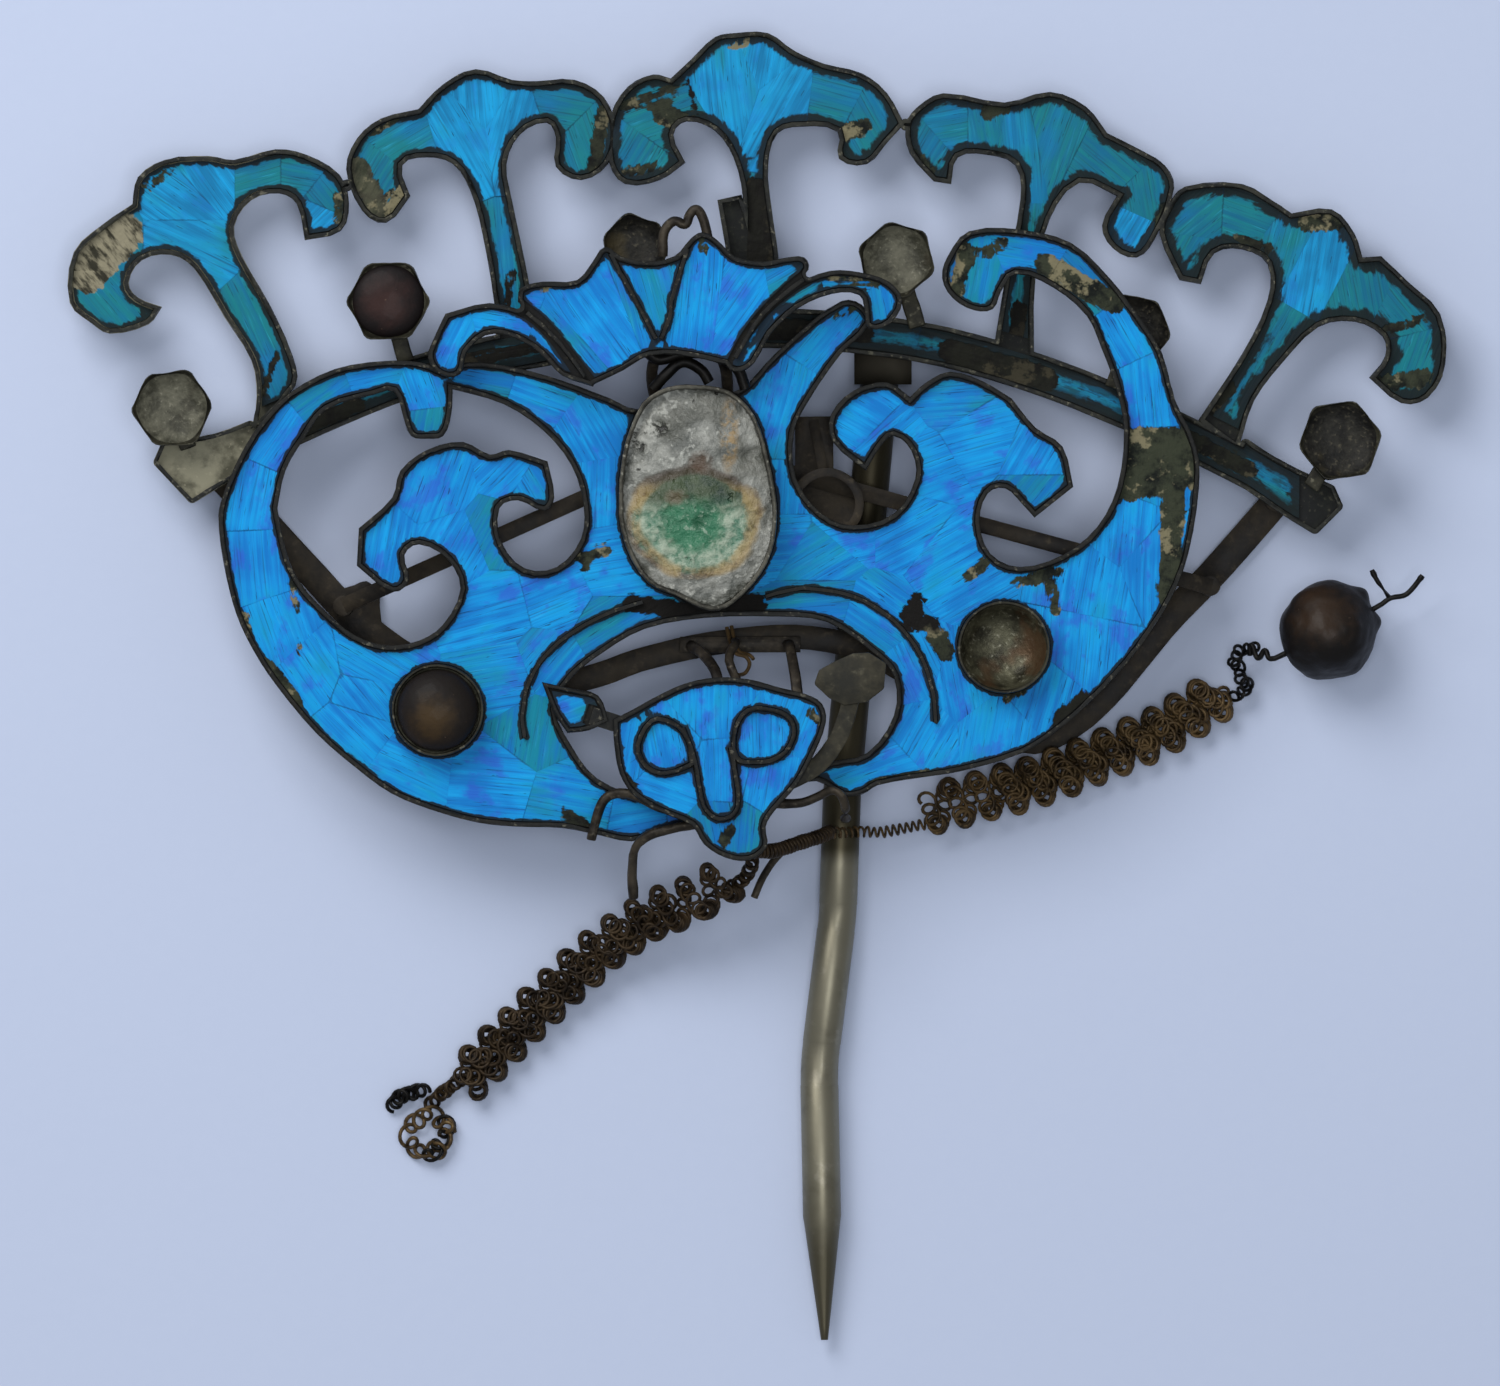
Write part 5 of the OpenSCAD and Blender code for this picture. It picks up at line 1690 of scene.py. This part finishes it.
class Feathers:
    """The feather layers of the ornament."""

    MIDDLE: ClassVar[float] = -4.5
    # Reach of the grime and painted shade along the rims of each fan head
    HEAD_SOIL_AND_SHADE: ClassVar[tuple[float, ...]] = (.6, .65, .95, .9, 1.3)
    # Dark worn places along the band where it runs under and beside the front plates: partly lost feather,
    # partly painted shade of the plates
    BAND_WEAR_AND_SHADOW: ClassVar[tuple[Worn, ...]] = (
        Worn(-36, 18.6, -30, 21.2, 0.7, 0.8), Worn(-26, 23.6, -14, 26, 0.55, 0.9),
        Worn(-4, 27, 8, 26.6, 0.9, 0.9), Worn(14.4, 25.2, 21.6, 23.1, 1.0, 0.8),
        Worn(29, 20.2, 37, 16.3, 0.7, 0.7), Worn(-12, 26.2, -8, 26.6, 0.8, 0.9))

    @staticmethod
    def patches(*rows: Point) -> list[Patch]:
        """Makes patches from rows of place, direction and hue."""
        return [Patch(*row) for row in rows]

    def bat(self) -> list[Inlay]:
        """Lays out the two layers of the bat plate.

        Returns:
            The layers.
        """
        left = self.patches(
            (-24.9, 19.6, 80, .9), (-25.2, 22, 110), (-28.6, 23.3, 12, .45), (-32.4, 21.9, 35, .7),
            (-36.2, 18.9, 55, .2), (-38.2, 14.5, 80), (-38, 9, 95, .15), (-36.3, 4, 110), (-33.5, 1, 125),
            (-30.3, -3, 135), (-29, 1.8, 150), (-29.5, -.6, 130), (-26, -6.3, 155), (-20, -7, 175),
            (-14, -8.8, 170, .3), (-8, -10, 10), (-28.4, 10.4, 80), (-24, 15.4, 70, .15),
            (-18.3, 16.5, 45), (-16.5, 15.4, -60, .3), (-22.3, 10.4, 60), (-19.6, 11.5, 60, .6),
            (-19.6, 6, 15), (-15.2, 7.1, 22), (-10.8, 9.3, 10), (-11.7, 14.8, 88, 0), (-12.4, 19.2, 120),
            (-16.3, 22, 160, .15), (-20.3, 23.4, 170, .7), (-10.8, 4.4, 30, .6), (-15.7, 1.6, 50, .4),
            (-16.8, -2.8, 80, .7), (-18.7, .5, 10, .3), (-5.5, -9.6, 5))
        left_worn = (
            Worn(-38.4, 5.4, -37.9, 3, .5), Worn(-36.7, 1.5, -34.6, -1, .75),
            Worn(-34.8, 7.8, -34.5, 5.9, .4), Worn(-34.5, 5.6, -34.2, 2.2, .14),
            Worn(-13.2, 9.8, -11.3, 10.3, .5), Worn(-12.8, 9.7, -12.9, 9, .4),
            Worn(-14.4, -9.4, -12.8, -10.5, .5, .5), Worn(-20, 17.2, -17, 17.8, .25),
            Worn(-9.4, 6.3, -4.7, 5.6, .75, 1))
        right = self.patches(
            (1.7, 19.8, 75), (6.5, 27.5, 50, .2), (1.7, 14.3, 85), (7.7, 20.4, 150), (9.9, 18.2, 40),
            (14.9, 21.7, 5, .4), (16.5, 19.1, 15), (12.1, 16.5, 20), (21.3, 17.1, 60),
            (21.3, 14.7, 50, .7), (11, 12.5, 28), (14.9, 9.4, 30), (4.4, 9.9, 30, .35), (6.6, 12.5, 15),
            (1.7, 11.6, 5), (4.4, 6.1, 5, .7), (8.8, 4.8, 145, .3), (11.4, 1.1, 115, .2),
            (12.3, -3.3, 60), (9.4, -6, 20), (15.4, 0, 100), (17.6, -2.9, 80), (20.9, 0, 75),
            (23.7, 3.3, 85), (24.6, 7.7, 80), (27.6, 11.7, 85), (29.7, 9.8, 88), (29, 22.2, 95),
            (27, 26.4, 120), (24.4, 29.9, 135, .8), (20, 32.7, 170, .5), (16.1, 31.2, 80, .6),
            (29.5, 16.5, 90, .2))
        right_worn = (
            Worn(15.8, 8.2, 17, 9.2, .55), Worn(19.4, 7.8, 22.4, 8.7, .5), Worn(21.8, 8.2, 22.2, 5.8, .5),
            Worn(11.9, 6.4, 11.3, 5.2, .8, 1), Worn(11.3, 4.8, 13.1, 4.7, .7, 1),
            Worn(13.3, 3.9, 14.1, 2.7, .8, .2), Worn(27.4, 18.5, 32.2, 18.6, .95),
            Worn(27.6, 15.7, 31.6, 16.5, 1.9), Worn(31.3, 14.5, 30.6, 7.0, .85),
            Worn(30.6, 15, 30.4, 11, .5), Worn(14.8, 29.6, 15.6, 32.6, .7),
            Worn(17, 32.4, 18.4, 33.2, .5), Worn(21.6, 31.6, 26.6, 28.8, .95),
            Worn(22.4, -2.4, 24.4, -.9, .65, .8), Worn(8.2, -7.1, 12.6, -6.3, .3, .3),
            Worn(18.6, -.8, 19.6, -.2, .5, .2), Worn(5.8, 27.6, 7.2, 28.4, .3),
            Worn(-4.4, 5.6, 0, 6.3, .8, 1))
        return [Inlay("bat_feather_left", Looks.FRONT, left, left_worn, .2, split=self.MIDDLE),
                Inlay("bat_feather_right", Looks.FRONT, right, right_worn, .2, split=self.MIDDLE)]

    def crown_and_head(self) -> list[Inlay]:
        """Lays out the layers of the crown, the head and the ear.

        Returns:
            The layers.
        """
        crown = self.patches(
            (-22.7, 25.8, 65, 0), (-19.2, 26.7, 170, 0), (-15.2, 25.1, 130, .5), (-12, 28, 125, -.3),
            (-8.2, 29.5, 105, .45), (-4.8, 29, 85), (-1, 28.5, 55), (2.9, 29.2, 30, .6), (7, 30.2, 0, .5),
            (9.5, 28.7, 100, .5))
        crown_worn = (Worn(5, 30.7, 8.8, 30.2, .35), Worn(-4.2, 33.3, -4, 32.8, .4),
                      Worn(-16.6, 29.7, -15.6, 29.8, .3))
        head = self.patches(
            (-3.3, -1.3, 90), (-6.8, -4.5, 100), (-10, -4.5, 80, .2), (-6.6, -7.6, 160), (-3.1, -6.4, 90),
            (.5, -3.9, 92), (1.5, -7.4, 80), (3.5, -2.6, 70), (-.8, -11.2, 85, .8),
            (-3.3, -10.6, 100, .8))
        head_worn = (Worn(-2.6, -11.6, -2, -10.6, .5), Worn(4, -1.8, 4.6, -2.6, .4, .3),
                     Worn(-9.8, -6.8, -9.2, -7.4, .4, .6))
        return [Inlay("crown_feathers", Looks.FRONT, crown, crown_worn, .12),
                Inlay("head_feathers", Looks.FRONT, head, head_worn, .12, tilt=.03),
                Inlay("ear_feather", Looks.FRONT, self.patches((-13.5, -1.5, 20, .3)), (), .1)]

    def fan(self) -> list[Inlay]:
        """Lays out the layers of the five heads and of the band.

        Returns:
            The layers.
        """
        rows = (
            self.patches((-36.8, 26.5, 115, .75), (-43.3, 36.5, 145, .2), (-41.1, 38.5, 125, .1),
                         (-43.3, 33.5, 155, .3), (-37.2, 38.5, 15, .7), (-34.2, 38.5, 170, .7),
                         (-32.2, 36.9, 130, .8), (-33, 35.1, 45, 0), (-48.7, 33.5, 130, .7),
                         (-48.7, 28.9, 130, .75)),
            self.patches((-18.2, 31, 97, .6), (-22.6, 42, 120, .1), (-20.5, 44, 95, .05),
                         (-18.3, 42.6, 75, .1), (-26.2, 41, 30, .6), (-28.5, 38, 60, .9),
                         (-14.5, 43.8, 170, .8), (-12.2, 41.5, 110, .8)),
            self.patches((.2, 32, 85, .7), (-1.8, 46, 95, .2), (.5, 47, 80, .15), (2.4, 44.6, 60, .2),
                         (-7.5, 42.5, 20, .9), (-9.3, 40, 60, .8), (5.5, 44.2, 165, .7),
                         (8.8, 42.5, 120, .8)),
            self.patches((19.5, 31, 85, .65), (22, 42, 70, .7), (19.5, 41.5, 95, .6), (17, 42, 100, .7),
                         (14.5, 42, 10, .7), (12.6, 40.3, 60, .8), (26.5, 39.8, 140, .9),
                         (29.6, 36.5, 100, .8), (28.4, 33.8, 60, 0)),
            self.patches((32.8, 35.4, 40, .9), (32.4, 32.2, 60, .9), (36.8, 35.2, 160, 1.1),
                         (42, 31.8, 80, .1), (39.4, 33.2, 75, .6), (38.1, 25.1, 60, 1),
                         (45.5, 30, 100, 1.1), (48.5, 28.5, 130, 1.1), (49.5, 24.5, 70, .8)))
        worn = (
            (Worn(-50.2, 31, -47.5, 34, 1.6, -1), Worn(-37, 22, -36, 25, .35, .7),
             Worn(-45.8, 37.4, -44, 38.6, .4), Worn(-31.4, 35, -31.4, 37, .4)),
            (Worn(-30, 39, -28.4, 36, .9, -.25), Worn(-27.6, 35.6, -26.8, 37.2, .5),
             Worn(-12.2, 39, -11.6, 43, .6, .4), Worn(-19, 27.2, -18.4, 31, .4, .9),
             Worn(-28.8, 41.4, -27, 42.4, .35)),
            (Worn(.2, 28, -.2, 37, 1.3, .9), Worn(-10, 43.4, -6, 44.8, .5, .3),
             Worn(-7.2, 43.2, -4.8, 41.6, .9, .2), Worn(-5.2, 45.6, -4.6, 43, .25, 1),
             Worn(3.6, 40.6, 8, 42, .7), Worn(-9.8, 38.6, -7.6, 39, .4, .3),
             Worn(-2.2, 47.8, -.6, 48.4, .3)),
            (Worn(17.2, 43, 18.4, 43.6, .7, .3), Worn(19.4, 25.5, 19.6, 28.4, .7, .9),
             Worn(11.8, 40, 13, 38.6, .4), Worn(30, 34.4, 30.4, 36, .35)),
            (Worn(41.2, 34.8, 44, 35, .8), Worn(47, 22.8, 50, 23.2, .7),
             Worn(33.4, 20.4, 35.4, 22.4, .6, .7), Worn(36, 33.6, 38.4, 32.8, .4, .5),
             Worn(47, 26.8, 50, 27.6, .4, .4)))
        heads = [Inlay(f"fan_feather_{i}", Looks.REAR, row, places, .35, soil_and_shade=soil_and_shade)
                 for i, (row, places, soil_and_shade) in enumerate(zip(rows, worn, self.HEAD_SOIL_AND_SHADE), 1)]
        band = self.patches(
            (-36, 18.7, 25, .9), (-30.5, 21.4, 22, .8), (-23, 24, 14, .9), (-16, 25.6, 10, .8),
            (-8, 26.6, 4, .9), (0, 26.9, 0, .9), (8, 26.5, -6, .8), (16, 25, -14, .9),
            (24.4, 22.8, -20, .6), (31, 19.4, -26, .9), (38.4, 15.4, -30, .6))
        return heads + [Inlay("band_feather", Looks.REAR, band, self.BAND_WEAR_AND_SHADOW, .9, soil_and_shade=1.3)]

    def build(self) -> None:
        """Builds every layer."""
        for inlay in (*self.bat(), *self.crown_and_head(), *self.fan()):
            inlay.build()


class Metalwork:
    """Trays, cups, bezel, stones, strips and wires."""

    CUPS: ClassVar[tuple[BandCup, ...]] = (
        BandCup(1, -43.8, 20.9, 3.05, 5, (-42.6, 17.9)), BandCup(2, -27.6, 28.9, 3.15, 0, (-26.3, 24.4)),
        BandCup(3, -9.2, 33.0, 2.50, 42, (-9.0, 27.4), Looks.DARK_BOWL),
        BandCup(4, 10.4, 32.0, 2.90, 43, (12.0, 27.0)),
        BandCup(5, 28.1, 26.7, 2.80, 52, (26.6, 22.4), Looks.DARK_BOWL),
        BandCup(6, 43.6, 18.5, 3.15, 10, (41.4, 15.0), Looks.DARK_BOWL))

    def build(self) -> None:
        """Builds the pieces in their order from the front to the back."""
        Tray("bat_plate", sheet_top=7.95, rim_top=8.9, rim=Looks.RIM, floor=Looks.DIRT).build()
        Tray("crown_plate", sheet_top=10.75, rim_top=11.6, rim=Looks.RIM, floor=Looks.DIRT).build()
        Tray("head_plate", sheet_top=11.25, rim_top=12.0, rim=Looks.RIM, floor=Looks.DIRT).build()
        Tray("ear_plate", sheet_top=10.5, rim_top=11.2, rim=Looks.RIM, floor=Looks.DIRT).build()
        Tray("fan_frame", sheet_top=3.75, rim_top=4.7, rim=Looks.FAN_RIM, floor=Looks.FAN_DIRT).build()
        for cup in self.CUPS:
            cup.build()
        setting = OvalSetting()
        setting.wall()
        setting.crust()
        WingCup("wing_cup_left", x=-23.9, y=-1.7, inside=Looks.BOWL).build()
        WingCup("wing_cup_right", x=18.4, y=3.0, inside=Looks.COPPER_BOWL).build()
        Cabochon("wing_stone", Looks.WING_STONE, x=-23.9, y=-1.7, radius=3.03, low=9.52, shoulder=0.7,
                 dome=1.7).build()
        Cabochon("fan_stone", Looks.FAN_STONE, x=-27.6, y=28.9, radius=2.74, low=5.9, shoulder=0.6,
                 dome=0.9, foot=0.1).build()
        Bead().build()
        worked = (
            Worked("hair_pin", Looks.SHANK, soft=0.12, bend=0.03, scale=0.25),
            Worked("back_frame", Looks.STRIP, soft=0.14, bend=0.05, scale=0.35),
            Worked("ear_disc", Looks.DISC, soft=0.12, bend=0.1, scale=0.5),
            Worked("head_struts", Looks.WIRE, soft=0.08), Worked("crown_struts", Looks.WIRE, soft=0.08),
            Worked("crown_loops", Looks.WIRE, soft=0.1, bend=0.05, scale=0.6, rounds=1),
            *(Worked(f"whisker_{side}", Looks.WIRE, soft=0.1, bend=0.07, scale=0.6, rounds=1)
              for side in ("left", "low", "right")),
            Worked("bead_wire", Looks.BLACK_WIRE, soft=0.0, bend=0.03, scale=0.8, rounds=1))
        for piece in worked:
            piece.build()


class Coils:
    """Every coiled wire."""

    def feelers(self) -> None:
        """The two feelers of looped coil."""
        Feeler("strand_left", ((-1.9, -14.1, 7.3), (-4.6, -15.7, 5.9), (-7.9, -17.1, 4.2),
                               (-11.4, -19.4, 2.6), (-15.4, -23.0, 1.7), (-18.5, -26.1, 1.4),
                               (-21.9, -29.4, 1.3)), Looks.DARK_COIL, phase=5.6, loose=0.45).build()
        Feeler("strand_right", ((12.8, -9.1, 2.2), (18.2, -7.8, 1.9), (22.4, -6.5, 1.6),
                                (25.9, -5.1, 1.45), (29.2, -3.75, 1.4), (31.6, -2.5, 1.4),
                                (34.8, -0.4, 1.4)), Looks.COIL, reach=1.36, curl=0.6, phase=1.2).build()

    def wraps(self) -> None:
        """The wrap below the chin with its leg, and the stretched spring."""
        line = smooth_line(((-0.6, -12.2, 10.15), (1.2, -12.2, 8.6), (3.2, -11.6, 6.6), (4.8, -11.1, 4.9),
                            (5.4, -10.8, 3.7)), 10)
        wire("chin_wrap_wound", [helix(line, radius=0.43, pitch=0.36, points=12, uneven=0.12)],
             radius=0.15, look=Looks.DARK_COIL, node="chin_wrap", resolution=2)
        leg = smooth_line(((2.0, -12.1, 7.7), (1.1, -13.1, 7.2), (0.3, -14.4, 6.7),
                           (-0.25, -15.7, 6.4)), 8)
        link = smooth_line(((-2.8, -15.4, 6.8), (-1.8, -14.8, 7.3), (-0.8, -13.9, 7.9),
                            (-0.2, -12.9, 8.9)), 8)
        wire("chin_link", [curls(link, radius=0.42, pitch=0.44, points=14, tilt=0.6, seed=2.0,
                                 stray=0.4)], radius=0.15, look=Looks.DARK_COIL, slot="coil_wire")
        wire("chin_leg", [leg], radius=0.28, look=Looks.WIRE, slot="coil_wire", resolution=3)
        spring = smooth_line(((5.6, -10.9, 3.4), (7.9, -10.8, 2.3), (9.2, -10.85, 2.2),
                              (10.7, -10.6, 2.2), (12.7, -10.2, 2.2)), 8)
        wire("thin_spring_wound", [helix(spring, radius=0.36, pitch=0.5, points=14, uneven=0.2)],
             radius=0.1, look=Looks.COIL, node="thin_spring")
        hook = smooth_line(((-2.3, 4.5, 5.2), (-2.1, 3.6, 5.6), (-1.7, 2.6, 6.2), (-0.9, 2.3, 6.8),
                            (-0.6, 1.8, 7.2), (-0.9, 1.1, 7.8), (-1.5, 0.9, 8.4)), 8)
        tangle = smooth_line(((-8.4, 25.2, 9.6), (-7.4, 24.5, 9.5), (-5.8, 24.9, 9.5), (-4.4, 25.0, 9.5),
                              (-2.8, 24.6, 9.4), (-1.5, 23.8, 9.4), (-0.9, 22.3, 9.4)), 8)
        strut = smooth_line(((-7.8, 22.3, 9.3), (-6.8, 23.4, 9.6), (-5.6, 24.3, 9.5), (-4.2, 23.7, 9.3),
                             (-3.6, 22.8, 9.2)), 8)
        wire("crown_tangle", [tangle, strut], radius=0.42, look=Looks.BLACK_WIRE, slot="dark_wire",
             resolution=2)
        wire("back_hook", [hook, [p + Vector((0.34, 0.1, -0.2)) for p in hook[:30]]], radius=0.15,
             look=Looks.COIL, slot="coil_wire", resolution=2)

    def ends(self) -> None:
        """The dark curls at the feelers' ends and the small looped ring."""
        left = smooth_line(((-25.0, -30.3, 0.7), (-26.0, -30.3, 0.7), (-26.9, -30.7, 0.7),
                            (-27.4, -31.4, 0.6)), 10)
        brown = smooth_line(((-21.9, -29.4, 0.9), (-22.8, -29.8, 0.7), (-23.8, -30.6, 0.7),
                             (-24.6, -31.2, 0.7)), 10)
        wire("end_coil_left_wound",
             [curls(left, radius=0.46, pitch=0.42, points=14, tilt=0.6, seed=1.0, stray=0.3)],
             radius=0.15, look=Looks.BLACK_WIRE, node="end_coil_left")
        wire("end_coil_brown", [curls(brown, radius=0.42, pitch=0.42, points=14, tilt=0.6, seed=4.0,
                                      stray=0.4)], radius=0.15, look=Looks.DARK_COIL, slot="coil_wire")
        right = smooth_line(((35.7, -0.8, 1.3), (36.5, -0.1, 1.5), (36.0, 1.1, 1.8), (35.8, 2.1, 2.2),
                             (36.6, 2.8, 2.3), (37.2, 2.6, 2.3)), 10)
        wire("end_coil_right_wound",
             [curls(right, radius=0.4, pitch=0.46, points=14, tilt=1.1, seed=2.0, stray=0.55)],
             radius=0.13, look=Looks.BLACK_WIRE, node="end_coil_right")
        x, y, z, reach, steps = -24.6, -33.45, 0.68, 1.42, 120
        ring = [Vector((x + reach * math.cos(a), y + reach * math.sin(a), z))
                for a in (math.tau * i / steps for i in range(steps + 1))]
        wire("end_ring_wound", [curls(ring, radius=0.54, pitch=0.84, points=16, tilt=0.6, seed=7.0,
                                      stray=0.6)], radius=0.15, look=Looks.COIL, node="end_ring")
        # The dark stretch runs from the ring's bottom round to its right side
        dark = ring[84:] + ring[:14]
        wire("end_ring_dark", [curls(dark, radius=0.5, pitch=1.0, points=16, tilt=0.6, seed=9.0,
                                     stray=0.5)], radius=0.14, look=Looks.BLACK_WIRE, slot="dark_wire")

    def build(self) -> None:
        """Builds every coil."""
        self.feelers()
        self.wraps()
        self.ends()


# Floor, lights and camera


@dataclass(frozen=True)
class Studio:
    """A plain pale floor under soft light, seen from straight above through a long lens."""

    centre: tuple[float, float] = (-0.5625, -0.4125)
    width: float = 112.5
    distance: float = 2.4
    floor_colour: Colour = rgb(196, 206, 230)
    grain_colour: Colour = rgb(184, 196, 222)
    sensor: float = 36.0
    sky: Colour = (0.86, 0.92, 1.0)
    sky_power: float = 0.33

    def floor(self) -> None:
        """Lays the floor."""
        bm = bmesh.new()
        bmesh.ops.create_grid(bm, x_segments=1, y_segments=1, size=1.2)
        mesh = bpy.data.meshes.new("floor")
        bm.to_mesh(mesh)
        bm.free()
        ground = bpy.data.objects.new("floor", mesh)
        bpy.context.scene.collection.objects.link(ground)
        r = Recipe("floor_paper")
        grain = r.noise(r.place, 900.0, 3.0)
        colour = r.mix(grain.between(0.3, 0.7) * 0.06, self.floor_colour, self.grain_colour)
        mesh.materials.append(r.finish(colour, 0.85, 0.0, r.bump(grain, 0.01 * MM)))

    def camera(self) -> None:
        """Sets the camera."""
        data = bpy.data.cameras.new("camera")
        data.sensor_width = self.sensor
        data.lens = self.sensor * self.distance / (self.width * MM)
        data.clip_end = 10
        seat = bpy.data.objects.new("camera", data)
        seat.location = (self.centre[0] * MM, self.centre[1] * MM, self.distance)
        bpy.context.scene.collection.objects.link(seat)
        bpy.context.scene.camera = seat

    def lamp(self, name: str, place: Point, size: float, power: float,
             colour: Colour = (1, 1, 1)) -> None:
        """Hangs one soft square lamp that looks at the ornament.

        Args:
            name: Name of the lamp.
            place: Its place in metres.
            size: Its side in metres.
            power: Its power in watts.
            colour: Its colour.
        """
        data = bpy.data.lights.new(name, "AREA")
        data.shape = "SQUARE"
        data.size = size
        data.energy = power
        data.color = colour
        lamp = bpy.data.objects.new(name, data)
        lamp.location = place
        lamp.rotation_euler = (Vector((0, 0, 0)) - Vector(place)).to_track_quat("-Z", "Y").to_euler()
        bpy.context.scene.collection.objects.link(lamp)

    def build(self) -> None:
        """Builds the studio and sets the view."""
        self.floor()
        self.camera()
        self.lamp("key", (-0.19, 0.27, 0.36), size=0.3, power=1.48)
        self.lamp("fill", (0.06, -0.04, 0.95), size=0.35, power=2.2, colour=(0.94, 0.97, 1.0))
        world = bpy.data.worlds.new("sky")
        world.use_nodes = True
        sky = world.node_tree.nodes["Background"].inputs
        sky[0].default_value = (*self.sky, 1)
        sky[1].default_value = self.sky_power
        bpy.context.scene.world = world
        view = bpy.context.scene.view_settings
        view.view_transform = "Standard"
        view.look = "None"
        view.exposure = 0.0


def main() -> None:
    """Builds the ornament and its studio."""
    noise.seed_set(SEED)
    Feathers().build()
    Metalwork().build()
    Coils().build()
    Studio().build()


if __name__ == "__main__":
    main()
